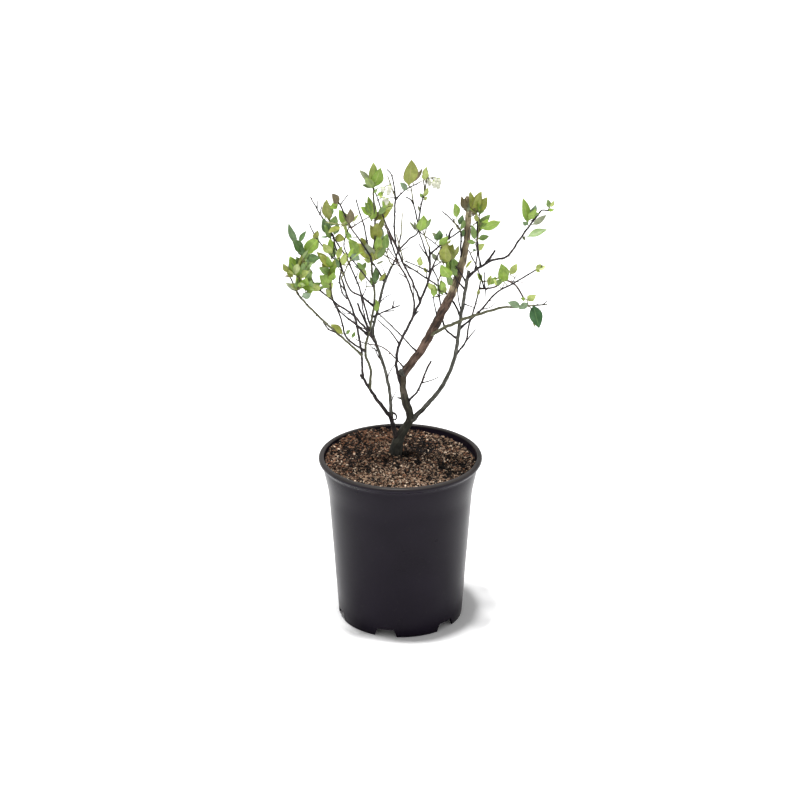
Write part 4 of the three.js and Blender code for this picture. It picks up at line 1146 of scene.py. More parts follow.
def grow_mass(foliage, mass, number, space, shows, in_flower):
    """The twigs, leaves and bells of one mass, with the draws and numbers of its solid."""
    numbers, draw, stem = mass.numbers, seeded(mass.seed), mass.stem
    line = [mass.start - mass.axis * GAP, mass.turn] + [mass.at(s) for s in (0.25, 0.5, 0.75, 1)]
    if mass.numbers.get("side") is not None:
        line[0] = mass.place
    foliage.twig(line, TWIG["root"], TWIG["tip"])
    turn_at_foot = 2 * math.pi * draw()
    for k in range(numbers["shoots"]):
        along = (k + 1) / numbers["shoots"]
        turn = turn_at_foot + k * GOLDEN_TURN
        opening = numbers["spread"] * (0.7 + 0.5 * draw()) * (1.35 - along)
        length = numbers["shoot"] * (0.65 + 0.5 * draw())
        heading = branching(mass.axis, turn, math.radians(opening), 0.4 * numbers["lift"])
        foot = mass.start + stem * along * 0.97
        tip = foot + heading * length
        leaf_turn = 2 * math.pi * draw()
        grows = space.is_free([(foot + tip) / 2, tip], number)
        grown = []
        tint = DEAL[(mass.seed + 3 * k) % len(DEAL)]
        for j in range(numbers["leaves"]):
            place = foot + (tip - foot) * (1 - 0.6 * j / numbers["leaves"])
            spread = math.radians(14 if j == 0 else 32 + 26 * draw())
            ahead = branching(heading, leaf_turn + j * GOLDEN_TURN, spread, 0.5 * numbers["lift"])
            roll = math.pi * draw()
            size = numbers["leaf"] * (0.62 + 0.42 * draw())
            root = place - ahead * LEAF["sunk"]
            points = leaf_points(root, ahead, roll, size)
            if grows and space.is_free(points[1:], number) and shows(points[1:]):
                grown.append((root, ahead, roll, size))
        if grown:
            foliage.twig([foot, (foot + tip) / 2 + UP * 0.3, tip], TWIG["tip"], TWIG["tip"] * 0.7)
        for root, ahead, roll, size in grown:
            side, other = square_to(ahead)
            tilt = (roll - math.pi / 2) * 0.55
            across = -side * math.cos(tilt) - other * math.sin(tilt)
            foliage.leaf(root, ahead, across, size, tint)
    for k in range(numbers["bells"]):
        place = mass.start + stem * (0.45 + 0.5 * k / numbers["bells"])
        outward = branching(mass.axis, 2.4 * k + draw(), math.pi / 2, -0.1)
        neck = place + outward * (BELL["stalk"] + BELL["radius"])
        if in_flower(neck) and space.is_free([neck, neck - UP * BELL["length"]], number):
            foliage.bell(place, place + outward * BELL["stalk"])


# ---- Materials --------------------------------------------------------------------------------


class Nodes:
    """Short calls that build a material's nodes round its shader."""

    def __init__(self, name):
        self.material = bpy.data.materials.new(name)
        self.material.use_nodes = True
        self.tree = self.material.node_tree
        self.shader = self.tree.nodes["Principled BSDF"]
        coordinates = self.tree.nodes.new("ShaderNodeTexCoord")
        self.place = coordinates.outputs["Object"]
        along = self.tree.nodes.new("ShaderNodeAttribute")
        along.attribute_name = "along"
        self.along = along.outputs["Vector"]

    def join(self, value, socket):
        if isinstance(value, bpy.types.NodeSocket):
            self.tree.links.new(value, socket)
        else:
            socket.default_value = value

    def add(self, kind, output, inputs, **settings):
        node = self.tree.nodes.new(kind)
        for key, value in settings.items():
            setattr(node, key, value)
        for key, value in inputs.items():
            self.join(value, node.inputs[key])
        return node.outputs[output]

    def noise(self, scale, detail=3, stretch=None):
        """Noise in space, or, where stretched, in the places along each limb."""
        place = self.place
        if stretch:
            inputs = {"Vector": self.along, "Scale": stretch}
            place = self.add("ShaderNodeMapping", "Vector", inputs)
        inputs = {"Vector": place, "Scale": scale, "Detail": detail}
        return self.add("ShaderNodeTexNoise", "Fac", inputs)

    def span(self, value, from_low, from_high, to_low, to_high):
        inputs = {"Value": value, "From Min": from_low, "From Max": from_high,
                  "To Min": to_low, "To Max": to_high}
        return self.add("ShaderNodeMapRange", "Result", inputs)

    def ramp(self, factor, stops):
        node = self.tree.nodes.new("ShaderNodeValToRGB")
        ramp = node.color_ramp
        while len(ramp.elements) < len(stops):
            ramp.elements.new(1)
        for element, (position, colour) in zip(ramp.elements, stops):
            element.position = position
            element.color = (*colour, 1)
        self.join(factor, node.inputs["Fac"])
        return node.outputs["Color"]

    def mix(self, factor, first, second):
        node = self.tree.nodes.new("ShaderNodeMix")
        node.data_type = "RGBA"
        self.join(factor, node.inputs[0])
        for value, socket in ((first, node.inputs[6]), (second, node.inputs[7])):
            self.join(value if not isinstance(value, tuple) else (*value, 1), socket)
        return node.outputs[2]

    def sum(self, first, second, share):
        scaled = self.add("ShaderNodeMath", 0, {0: second, 1: share}, operation="MULTIPLY")
        return self.add("ShaderNodeMath", 0, {0: first, 1: scaled}, operation="ADD")

    def bump(self, height, strength, distance):
        inputs = {"Height": height, "Strength": strength, "Distance": distance}
        return self.add("ShaderNodeBump", "Normal", inputs)

    def finish(self, **inputs):
        """Sets the shader's sockets by name, with _ for a space."""
        for key, value in inputs.items():
            self.join(value, self.shader.inputs[key.replace("_", " ")])
        return self.material


def leaf_finish(name, colour, roughness):
    """One finish of a blade, with broad patches a little deeper and paler than its colour."""
    nodes = Nodes(name)
    fine, broad = nodes.noise(900, 2), nodes.noise(160, 2)
    paler = tuple(min(1, value * 1.22 + 0.012) for value in colour)
    deeper = tuple(value * 0.8 for value in colour)
    return nodes.finish(
        Base_Color=nodes.ramp(broad, [(0.3, deeper), (0.5, colour), (0.72, paler)]),
        Roughness=nodes.span(fine, 0.3, 0.7, roughness - 0.06, roughness + 0.08),
        Normal=nodes.bump(fine, 0.25, 0.0004),
        Specular_IOR_Level=0.4,
    )


def leaf_finishes(tint):
    """The finishes of a blade in the order of TOP, UNDER, RIB and RIM."""
    top, under, rib, rim = TINTS[tint]
    return [
        leaf_finish(f"leaf_{tint}_above", top, 0.42),
        leaf_finish(f"leaf_{tint}_below", under, 0.62),
        leaf_finish(f"leaf_{tint}_rib", rib, 0.5),
        leaf_finish(f"leaf_{tint}_rim", rim, 0.45),
    ]


def bark_finish(name, deep, usual, pale, streak, roughness=0.75):
    """Bark in three shades, with streaks along it and lichen-like patches."""
    nodes = Nodes(name)
    streaks = nodes.noise(700, 4, (1, 1, streak))
    patches = nodes.noise(120, 3)
    shade = nodes.sum(streaks, patches, 0.6)
    return nodes.finish(
        Base_Color=nodes.ramp(shade, [(0.58, deep), (0.8, usual), (1, pale)]),
        Roughness=nodes.span(streaks, 0.3, 0.7, roughness - 0.1, roughness + 0.1),
        Normal=nodes.bump(streaks, 0.5, 0.0008),
        Specular_IOR_Level=0.3,
    )


def old_bark():
    """The trunk's bark: dark and mossy at its foot, grey-green, reddish brown, then paler."""
    nodes = Nodes("old_bark")
    height = nodes.add("ShaderNodeSeparateXYZ", "Z", {"Vector": nodes.place})
    streaks = nodes.noise(400, 5, (1, 1, 0.16))
    patches = nodes.noise(75, 4)
    climb = nodes.sum(nodes.span(height, 0.2, 0.5, 0, 1), nodes.span(patches, 0, 1, -1, 1), 0.13)
    old = nodes.ramp(climb, [(0.03, (0.035, 0.036, 0.033)), (0.12, (0.03, 0.031, 0.023)),
                             (0.3, (0.05, 0.046, 0.03)), (0.42, (0.062, 0.037, 0.026)),
                             (0.72, (0.062, 0.038, 0.028)), (0.84, (0.13, 0.096, 0.062)),
                             (0.96, (0.18, 0.14, 0.082))])
    pale = nodes.ramp(climb, [(0.05, (0.07, 0.07, 0.058)), (0.2, (0.072, 0.07, 0.051)),
                              (0.33, (0.12, 0.11, 0.08)), (0.5, (0.2, 0.13, 0.1)),
                              (0.72, (0.21, 0.135, 0.1)), (0.84, (0.42, 0.35, 0.22)),
                              (0.96, (0.5, 0.43, 0.27))])
    # The furrows are mixed towards near black: painted shade in them, over the furrows' own darker
    # bark.
    grooves = nodes.ramp(streaks, [(0.42, (0, 0, 0)), (0.5, (1, 1, 1))])
    bark = nodes.mix(nodes.span(patches, 0.42, 0.68, 0, 0.9), old, pale)
    return nodes.finish(
        Base_Color=nodes.mix(nodes.span(grooves, 0, 1, 0.72, 0), bark, (0.02, 0.015, 0.012)),
        Roughness=nodes.span(streaks, 0.3, 0.7, 0.7, 0.95),
        Normal=nodes.bump(nodes.sum(streaks, patches, 0.5), 0.7, 0.0016),
        Specular_IOR_Level=0.25,
    )


def pot_finish():
    """Satin purple-black plastic, finely grained and scuffed, with a painted highlight on top of
    its lip.
    """
    nodes = Nodes("pot_plastic")
    grain, cloud = nodes.noise(1500, 2), nodes.noise(22, 3)
    scuffs = nodes.ramp(nodes.noise(260, 4), [(0.66, (0, 0, 0)), (0.74, (1, 1, 1))])
    plain = nodes.ramp(cloud, [(0.3, (0.0055, 0.0036, 0.0078)), (0.7, (0.0078, 0.0054, 0.0108))])
    worn = nodes.mix(nodes.span(scuffs, 0, 1, 0, 0.5), plain, (0.016, 0.015, 0.016))
    height = nodes.add("ShaderNodeSeparateXYZ", "Z", {"Vector": nodes.place})
    lip_highlight = nodes.span(height, PAINTED_LIP_HIGHLIGHT["from"], PAINTED_LIP_HIGHLIGHT["from"] + PAINTED_LIP_HIGHLIGHT["full"], 0, 1)
    return nodes.finish(
        # The base colour turns pale pinkish grey on top of the lip: a painted highlight.
        Base_Color=nodes.mix(lip_highlight, worn, (0.031, 0.027, 0.026)),
        Roughness=nodes.span(cloud, 0.3, 0.7, 0.27, 0.33),
        Normal=nodes.bump(grain, 0.12, 0.0003),
        Specular_IOR_Level=nodes.span(height, 0, 0.13, 0.055, 0.105),
    )


def crumb_finish(name, colour):
    """Rough bark or peat, mottled from about half its colour to half as bright again."""
    nodes = Nodes(name)
    grain, broad = nodes.noise(1400, 4), nodes.noise(260, 2)
    return nodes.finish(
        Base_Color=nodes.ramp(nodes.sum(broad, grain, 0.5), [
            (0.5, tuple(value * 0.55 for value in colour)), (0.78, colour),
            (1, tuple(min(1, value * 1.5 + 0.02) for value in colour))]),
        Roughness=nodes.span(grain, 0.3, 0.7, 0.8, 1),
        Normal=nodes.bump(grain, 0.6, 0.001),
        Specular_IOR_Level=0.2,
    )


def petal_finish(name, colour):
    nodes = Nodes(name)
    fine = nodes.noise(600, 2)
    shaded = tuple(value * 0.86 for value in colour)
    return nodes.finish(
        Base_Color=nodes.mix(fine, shaded, colour),
        Roughness=nodes.span(fine, 0.3, 0.7, 0.4, 0.55),
        Normal=nodes.bump(fine, 0.1, 0.0003),
    )


# ---- Pot and soil -----------------------------------------------------------------------------

POT_TURNS = 168
POT_SHARP_DEG = 38  # the pot's edges stay sharp from this angle on
PAINTED_LIP_HIGHLIGHT = {"from": 0.2108, "full": 0.0012}  # metres: where the painted highlight on top of the lip starts, and how soon it is full
# The wall as [radius, height], with its flare in gentler steps than the solid's.
FLARE = [[78.5, 12], [88.3, 157], [89.3, 168], [91.1, 178], [93.3, 188], [95.3, 198], [96, 204]]


def rounded(outline, times):
    """An outline with its corners cut, time after time, between its kept ends."""
    points = np.array(outline, float)
    for _ in range(times):
        near = points[:-1] * 0.75 + points[1:] * 0.25
        far = points[:-1] * 0.25 + points[1:] * 0.75
        cut = np.column_stack([near, far]).reshape(-1, 2)
        points = np.vstack([points[:1], cut[1:-1], points[-1:]])
    return points.tolist()


def arc(centre, radius, first_deg, last_deg, steps):
    turns = np.radians(np.linspace(first_deg, last_deg, steps))
    return [[centre[0] + radius * math.cos(t), centre[1] + radius * math.sin(t)] for t in turns]


def turned(profile, turns):
    """The points and faces of a body turned about the pot's axis, from axis to axis."""
    angles = np.linspace(0, 2 * math.pi, turns, endpoint=False)
    rings = [[[r * math.cos(a), r * math.sin(a), z] for a in angles] for r, z in profile[1:-1]]
    points = [[0, 0, profile[0][1]]] + [p for ring in rings for p in ring]
    points.append([0, 0, profile[-1][1]])
    faces = [(0, 1 + (k + 1) % turns, 1 + k) for k in range(turns)]
    for i in range(len(rings) - 1):
        for k in range(turns):
            a, b = 1 + i * turns + k, 1 + i * turns + (k + 1) % turns
            faces.append((a, b, b + turns, a + turns))
    last, base = len(points) - 1, 1 + (len(rings) - 1) * turns
    faces += [(last, base + k, base + (k + 1) % turns) for k in range(turns)]
    return np.array(points, float), faces


def cutter(points, faces):
    """A body that is cut out of the pot and not shown."""
    mesh = bpy.data.meshes.new("cutter")
    mesh.from_pydata(placed(points).tolist(), [], faces)
    body = bpy.data.objects.new("cutter", mesh)
    bpy.context.scene.collection.objects.link(body)
    return body


def turned_about(points, degrees):
    turn = math.radians(degrees)
    spin = np.array([[math.cos(turn), math.sin(turn), 0],
                     [-math.sin(turn), math.cos(turn), 0], [0, 0, 1]])
    return np.asarray(points) @ spin


def notch_body(degrees):
    """What is cut out of the skirt for a notch: a block with its upper corners cut off."""
    low, high, top = NOTCH["bottom"] / 2, NOTCH["top"] / 2, NOTCH["height"]
    corner = NOTCH["corner"]
    outline = [(-low, -1), (low, -1), (high, top - corner), (high - corner, top),
               (-high + corner, top), (-high, top - corner)]
    near, far = -FOOT["radius"] - NOTCH["outward"], -FLARE[0][0] + NOTCH["inward"]
    points = [[x, y, z] for y in (near, far) for x, z in outline]
    count = len(outline)
    faces = [tuple(range(count)), tuple(range(2 * count - 1, count - 1, -1))]
    faces += [(k, count + k, count + (k + 1) % count, (k + 1) % count) for k in range(count)]
    return cutter(turned_about(points, degrees), faces)


def drain_body(degrees):
    ends = (-DRAIN["below"], DRAIN["above"])
    centres = np.array([[0, -DRAIN["ring"], FOOT["base"] + z] for z in ends], float)
    points, faces = tube(centres, [DRAIN["radius"]] * 2, DRAIN["sides"])
    return cutter(turned_about(points, degrees), faces)


def make_pot():
    """The pot, turned from its profile, with the notches and the drain holes cut out of it."""
    base, inner_base = FOOT["base"], FOOT["base"] + WALL
    lip, outer, inner = LIP["radius"], LIP["round"], LIP["inner_round"]
    inside = [[radius - WALL, height] for radius, height in FLARE]
    skirt, corner, rim = FOOT["radius"], FOOT["round"], FOOT["rim_round"]
    profile = [[0, base], *arc((skirt - WALL - 2, base - corner), corner, 90, 0, 4)]
    profile += [[skirt - WALL, 0.6], *arc((skirt - rim, rim), rim, 250, 360, 4)]
    profile += rounded([*FLARE, LIP["under"], LIP["side"], [lip, LIP["edge"]]], 3)
    profile += arc((lip - outer, POT_HEIGHT - outer), outer, 0, 90, 6)
    profile += arc((LIP["inner"] + inner, POT_HEIGHT - inner), inner, 90, 180, 4)
    profile += rounded([[LIP["inner"], LIP["inner_foot"]], *inside[::-1]], 2)
    profile += [[inside[0][0] - 2, inner_base], [0, inner_base]]
    heap = Heap()
    heap.add(*turned(profile, POT_TURNS))
    pot = heap.piece("tall_pot", [pot_finish()], "pot_plastic", ["pot"])
    tools = [notch_body(NOTCH["first"] + 360 * k / NOTCH["count"]) for k in range(NOTCH["count"])]
    tools += [drain_body(NOTCH["first"] + 360 * (k + 0.5) / DRAIN["count"])
              for k in range(DRAIN["count"])]
    for tool in tools:
        cut = pot.modifiers.new("cut", "BOOLEAN")
        cut.operation, cut.solver, cut.object = "DIFFERENCE", "EXACT", tool
    bpy.context.view_layer.update()
    depsgraph = bpy.context.evaluated_depsgraph_get()
    mesh = bpy.data.meshes.new_from_object(pot.evaluated_get(depsgraph))
    pot.modifiers.clear()
    pot.data = mesh
    for tool in tools:
        bpy.data.objects.remove(tool)
    keep_sharp(mesh, POT_SHARP_DEG)


def inner_radius(height):
    """The radius of the pot's inside at a height."""
    radii, heights = zip(*FLARE)
    return float(np.interp(height, heights, radii)) - WALL


CRUMBS = {"count": 14500, "small": 1.3, "large": 4.1, "sunk": 0.3, "stray": 0.7, "rim": 1.2,
          "jitter": 0.22, "flat": 0.75, "rise": 0.9}
BALL_EDGE = 1.06  # a little more than an edge of the ball that each crumb is made from
# Each kind of crumb: its colour, its share of all of them and how much likelier it is in a
# hole, at the back left and at the front.
CRUMB_KINDS = {
    # Black and dark crumbs are far likelier in the holes: painted shade in the hollows, over the
    # soil's own black peat.
    "black": ((0.0037, 0.0028, 0.0028), 0.24, 12, 0, -0.2),
    "dark": ((0.026, 0.0149, 0.0093), 0.22, 3, 0, -0.2),
    "brown": ((0.0977, 0.0521, 0.0326), 0.21, -0.6, 0.5, 0),
    "rust": ((0.1953, 0.093, 0.0512), 0.1, -0.95, 1.5, -0.3),
    "tan": ((0.2697, 0.1767, 0.1163), 0.2, -0.95, -0.2, 0.6),
    "pale": ((0.5208, 0.3999, 0.2976), 0.1, -0.97, -0.4, 0.8),
}
# Patches where one kind of crumb is likelier, where they show in the picture: [across, down,
# half width, half height, kind, how much likelier].
CRUMB_PATCHES = [
    (343, 442, 9, 5, "rust", 4), (379, 438, 14, 6, "rust", 5), (374, 441, 12, 5, "tan", 2),
    (353, 454, 16, 4, "dark", 4), (372, 450, 10, 4, "dark", 3), (421, 447, 14, 6, "black", 6),
    (418, 450, 18, 7, "dark", 4), (424, 430, 13, 4, "rust", 3), (444, 434, 16, 4, "tan", 2),
    (460, 452, 12, 8, "tan", 1.5), (402, 479, 50, 6, "tan", 1.5), (372, 466, 14, 6, "tan", 1.2),
    (396, 461, 8, 4, "black", 3), (338, 452, 6, 6, "pale", 1.5), (440, 447, 8, 8, "tan", 1.5),
]
# Dark holes, as [across, down, width] in the picture.
SOIL_HOLES = [
    (351, 462.5, 5), (368, 469.5, 4.5), (359, 440, 5), (377.5, 431.5, 4), (442, 466.3, 6),
    (449, 473.3, 5.5), (407, 455, 5), (417, 462, 5), (463, 463, 4), (438, 441, 3.5), (398, 466, 4),
    (349, 453.5, 6), (357, 451.5, 5), (371, 452.5, 6), (412, 446.5, 5), (420, 450, 6),
    (428.5, 450, 5), (431, 443.5, 4), (424.5, 441, 4), (345, 447, 4), (386, 461, 4),
    (372, 478, 3.5), (335, 444, 3.5), (406, 472, 3.5), (429, 478, 3.5), (456, 455, 3.5),
    (415, 433, 3), (389, 431, 4),
]
HOLE_PLACES = np.array(SOIL_HOLES, float)[:, :2]
HOLE_WIDTHS = np.array(SOIL_HOLES, float)[:, 2]
# The soil lies against the wall at an edge height, and is heaped up higher towards one turn.
SOIL_HEAP = {"edge": 204.5, "turn_deg": 124, "reach_deg": 50, "height": 8.5}
SOIL_MOUND = {"height": 1.2, "reach": 500}  # and a little round the trunk; reach is squared
SOIL_GRID = {"turns": 120, "rings": 46, "gap": 0.2, "side_top": 197}
SOIL_SETTLED = 1  # how far below its level the soil's middle lies, before its lumps
HOLE_DEPTH = 3.6
# Noise over the soil: how far its bumps reach across and back, its layer and its strength.
SOIL_NOISE = {"hollows": (13, 8, 4.4, 1.4), "pits": (4, 4, 9.2, 2.6), "lumps": (15, 15, 1.3, 2),
              "small_lumps": (5, 5, 7.1, 1.6), "kinds": (18, 18, 2.2, 50)}
PITS_RARE = 0.8  # taken from the noise, so that few places are pits


def soil_noise(x, y, name):
    across, back, layer, strength = SOIL_NOISE[name]
    return noise.noise(Vector((x / across, y / back, layer))) * strength


def soil_hole(x, y, picture):
    """How far a place on the soil is inside one of its dark holes, from 0 to 1."""
    chance = soil_noise(x, y, "hollows") + soil_noise(x, y, "pits") - PITS_RARE
    pixel = picture.pixels([(x, y, SOIL["level"])])[0]
    off = np.hypot(*(HOLE_PLACES - pixel).T) / HOLE_WIDTHS
    return float(np.clip(max(chance, 1.5 - 2 * off.min()), 0, 1))


def soil_height(x, y, hole):
    """The height of the soil's lumpy surface, with its holes and the heap at its back."""
    away = min(1, math.hypot(x, y) / inner_radius(SOIL["edge"]))
    off = (math.degrees(math.atan2(y, x)) - SOIL_HEAP["turn_deg"] + 180) % 360 - 180
    heap = SOIL_HEAP["height"] * math.exp(-((off / SOIL_HEAP["reach_deg"]) ** 2))
    height = SOIL["level"] + (SOIL_HEAP["edge"] + heap - SOIL["level"]) * away**2.5
    lumps = soil_noise(x, y, "lumps") + soil_noise(x, y, "small_lumps")
    from_trunk = (x - FOOT_OF_PLANT[0]) ** 2 + (y - FOOT_OF_PLANT[1]) ** 2
    mound = SOIL_MOUND["height"] * math.exp(-from_trunk / SOIL_MOUND["reach"])
    return height + (lumps - HOLE_DEPTH * hole) * (1 - 0.5 * away**8) + mound - SOIL_SETTLED


def make_soil(picture):
    """The bed of soil under the crumbs, which fills the pot out to its wall."""
    bottom = FOOT["base"] + WALL + GAP
    turns, gap = SOIL_GRID["turns"], SOIL_GRID["gap"]
    radii = np.linspace(0, inner_radius(SOIL["edge"]) - gap, SOIL_GRID["rings"])
    heights = [bottom] + [height for _, height in FLARE[1:-2]] + [SOIL_GRID["side_top"]]
    side = [(inner_radius(z) - gap, z) for z in heights]
    points, faces = turned([[0, bottom], *side, *[[r, 0] for r in radii[::-1]]], turns)
    first_top = 1 + len(side) * turns
    for i in range(first_top, len(points)):
        x, y = points[i, :2]
        points[i, 2] = soil_height(x, y, soil_hole(x, y, picture))
    heap = Heap()
    heap.add(points, faces)
    bed = crumb_finish("soil_bed", (0.012, 0.008, 0.006))
    heap.piece("soil_bed", [bed], "bark_soil", ["soil"])


def crumb_shape():
    """The corners and faces of a ball of twenty faces."""
    g = (1 + math.sqrt(5)) / 2
    corners = [(-1, g, 0), (1, g, 0), (-1, -g, 0), (1, -g, 0), (0, -1, g), (0, 1, g),
               (0, -1, -g), (0, 1, -g), (g, 0, -1), (g, 0, 1), (-g, 0, -1), (-g, 0, 1)]
    corners = np.array(corners) / math.hypot(1, g)
    count = range(len(corners))
    faces = [(a, b, c) for a in count for b in count for c in count
             if a < b and a < c and b != c and is_corner_face(corners, a, b, c)]
    return corners, faces


def is_corner_face(corners, a, b, c):
    """Whether three corners make a face of the ball, in their order as seen from outside."""
    pairs = ((a, b), (b, c), (a, c))
    near = all(np.linalg.norm(corners[i] - corners[j]) < BALL_EDGE for i, j in pairs)
    outward = np.cross(corners[b] - corners[a], corners[c] - corners[a])
    return near and outward.dot(corners[a]) > 0


def crumb_chances(x, y, hole, picture):
    """How likely each kind of crumb is at a place on the soil."""
    kinds = list(CRUMB_KINDS.values())
    patch = soil_noise(x, y, "kinds")
    where = np.array([hole, np.clip((y - x + patch) / 90, 0, 1), np.clip((patch - y) / 80, 0, 1)])
    likelier = 1 + np.array([kind[2:] for kind in kinds]) @ where
    chances = np.array([kind[1] for kind in kinds]) * np.clip(likelier, 0.03, None)
    across, down = picture.pixels([(x, y, SOIL["level"])])[0]
    for u, v, half_wide, half_high, kind, times in CRUMB_PATCHES:
        off = ((across - u) / half_wide) ** 2 + ((down - v) / half_high) ** 2
        chances[list(CRUMB_KINDS).index(kind)] *= 1 + times * math.exp(-off) * (1 - hole)
    return chances / chances.sum()


def make_crumbs(picture):
    """Chips of bark strewn over the soil, sunk in part, each kind joined in one piece."""
    corners, faces = crumb_shape()
    draws = np.random.default_rng(11)
    heaps = {kind: Heap() for kind in CRUMB_KINDS}
    reach = inner_radius(SOIL["edge"]) - CRUMBS["rim"]
    flat = np.diag([1, 1, CRUMBS["flat"]])
    for k in range(CRUMBS["count"]):
        away = reach * math.sqrt((k + 0.5) / CRUMBS["count"])
        turn = k * GOLDEN_TURN
        x = away * math.cos(turn) + draws.normal(0, CRUMBS["stray"])
        y = away * math.sin(turn) + draws.normal(0, CRUMBS["stray"])
        size = CRUMBS["small"] + (CRUMBS["large"] - CRUMBS["small"]) * draws.random() ** 3
        stretch = np.array([1, 0.55 + 0.45 * draws.random(), 0.35 + 0.5 * draws.random()])
        spin = np.linalg.qr(draws.normal(size=(3, 3)))[0]
        hole = soil_hole(x, y, picture)
        kind = draws.choice(len(CRUMB_KINDS), p=crumb_chances(x, y, hole, picture))
        jitter = 1 + CRUMBS["jitter"] * draws.normal(size=(len(corners), 1))
        if math.hypot(x, y) > reach:
            continue
        body = corners * jitter * stretch * size / 2
        body = body @ spin @ flat
        rise = size * 0.5 * stretch[2] * (1 - 2 * CRUMBS["sunk"])
        rise = rise + CRUMBS["rise"] * draws.random()
        centre = vec(x, y, soil_height(x, y, hole) + rise)
        ordered = faces if np.linalg.det(spin) > 0 else [face[::-1] for face in faces]
        heaps[list(CRUMB_KINDS)[kind]].add(body + centre, ordered)
    for kind, heap in heaps.items():
        finish = crumb_finish(f"{kind}_crumb", CRUMB_KINDS[kind][0])
        heap.piece(f"{kind}_crumbs", [finish], "bark_soil", ["soil"], smooth=False)


# ---- Stage ------------------------------------------------------------------------------------


def make_stage():
    """A plain pale floor, light all round that is brighter low down, and two suns overhead."""
    mesh = bpy.data.meshes.new("floor")
    half = FLOOR["size"] / 2
    mesh.from_pydata([(-half, -half, 0), (half, -half, 0), (half, half, 0), (-half, half, 0)],
                     [], [(0, 1, 2, 3)])
    floor = bpy.data.objects.new("floor", mesh)
    bpy.context.scene.collection.objects.link(floor)
    nodes = Nodes("floor")
    shade = (*[FLOOR["shade"]] * 3, 1)
    mesh.materials.append(nodes.finish(Base_Color=shade, Roughness=0.9, Specular_IOR_Level=0))

    world = bpy.data.worlds.new("studio")
    world.use_nodes = True
    tree = world.node_tree
    background = tree.nodes["Background"]
    background.inputs["Color"].default_value = (1, 1, 1, 1)
    way = tree.nodes.new("ShaderNodeTexCoord").outputs["Generated"]
    split, fall = tree.nodes.new("ShaderNodeSeparateXYZ"), tree.nodes.new("ShaderNodeMapRange")
    low, high = LIGHT["fall"]
    values = {"From Min": low, "From Max": high, "To Min": LIGHT["horizon"],
              "To Max": LIGHT["all_round"]}
    for key, value in values.items():
        fall.inputs[key].default_value = value
    tree.links.new(way, split.inputs[0])
    tree.links.new(split.outputs["Z"], fall.inputs["Value"])
    tree.links.new(fall.outputs["Result"], background.inputs["Strength"])
    bpy.context.scene.world = world

    for k, left in enumerate(LIGHT["left_deg"]):
        light = bpy.data.lights.new(f"overhead{k}", "SUN")
        light.energy, light.angle = LIGHT["overhead"], math.radians(LIGHT["soft_deg"])
        lamp = bpy.data.objects.new(f"overhead{k}", light)
        lamp.rotation_euler = (math.radians(LIGHT["front_deg"]), math.radians(-left), 0)
        bpy.context.scene.collection.objects.link(lamp)
    bpy.context.scene.view_settings.view_transform = "Standard"


def make_camera():
    """The camera of the photo, as fitted to the pot's rim and foot."""
    camera = bpy.data.cameras.new("camera")
    camera.lens, camera.sensor_width = CAMERA["lens"], CAMERA["sensor"]
    holder = bpy.data.objects.new("camera", camera)
    holder.location = placed(vec(CAMERA["right"], CAMERA["back"], CAMERA["up"]))
    holder.rotation_euler = (math.radians(90 - CAMERA["down_deg"]), 0, 0)
    bpy.context.scene.collection.objects.link(holder)
    bpy.context.scene.camera = holder


# ---- The plant in its pot ---------------------------------------------------------------------


# Each bark in its three shades, with the length of its streaks and, where it isn't the usual
# one, its roughness.
BARK_SHADES = {
    "grey": ((0.022, 0.022, 0.017), (0.057, 0.057, 0.046), (0.125, 0.122, 0.105), 0.2),
    "dark": ((0.006, 0.005, 0.006), (0.017, 0.013, 0.013), (0.06, 0.046, 0.044), 0.25),
    "brown": ((0.018, 0.011, 0.009), (0.05, 0.03, 0.024), (0.11, 0.075, 0.06), 0.25),
    "green": ((0.037, 0.036, 0.019), (0.077, 0.078, 0.04), (0.128, 0.127, 0.073), 0.3, 0.55),
}
BUD_SHADES = ((0.012, 0.006, 0.006), (0.037, 0.017, 0.014), (0.087, 0.046, 0.031), 0.6, 0.5)
TENDER_SHADES = ((0.04, 0.035, 0.016), (0.11, 0.105, 0.04), (0.2, 0.19, 0.07), 0.3, 0.6)
PETALS = {"petals": (0.62, 0.63, 0.5), "calyx": (0.3, 0.36, 0.13)}


def make_limbs(limbs, slots):
    """One piece of bark for each limb, in place of its solid."""
    finishes = {"old": old_bark()}
    for bark, shades in BARK_SHADES.items():
        finishes[bark] = bark_finish(f"{bark}_bark", *shades)
    bud = bark_finish("bud_scales", *BUD_SHADES)
    for seed, name in enumerate(LIMBS):
        limb = limbs[name]
        heap = Heap()
        grow_bark(heap, limb, seed, parent_radius(name, limbs))
        bark_count = len(heap.faces)
        if limb.thick[0] < BUDDED["thinner"]:
            grow_buds(heap, limb, seed)
        heap.finishes = [0] * bark_count + [1] * (len(heap.faces) - bark_count)
        heap.piece(f"{name}_bark", [finishes[limb.bark], bud], slots[name], [name])
    return finishes, bud


def make_twigs(limbs, finishes, bud):
    """The finer twigs, joined by their bark."""
    heaps = {}
    for seed, (name, limb) in enumerate(limbs.items()):
        if name in LIMBS:
            continue
        heap = heaps.setdefault(limb.bark, Heap())
        start = len(heap.faces)
        by_rule = "_side" in name and name[-1].isdigit()
        from_radius = SIDE_TWIGS["collar"] if by_rule else parent_radius(name, limbs)
        grow_bark(heap, limb, seed, from_radius)
        grown = len(heap.faces)
        if limb.length > BUDDED["longer"]:
            grow_buds(heap, limb, seed)
        heap.finishes[start:] = [0] * (grown - start) + [1] * (len(heap.faces) - grown)
    slots = {"green": "green_bark", "grey": "grey_bark"}
    for bark, heap in heaps.items():
        slot = slots.get(bark, "dark_bark")
        heap.piece(f"{bark}_twigs", [finishes[bark], bud], slot)


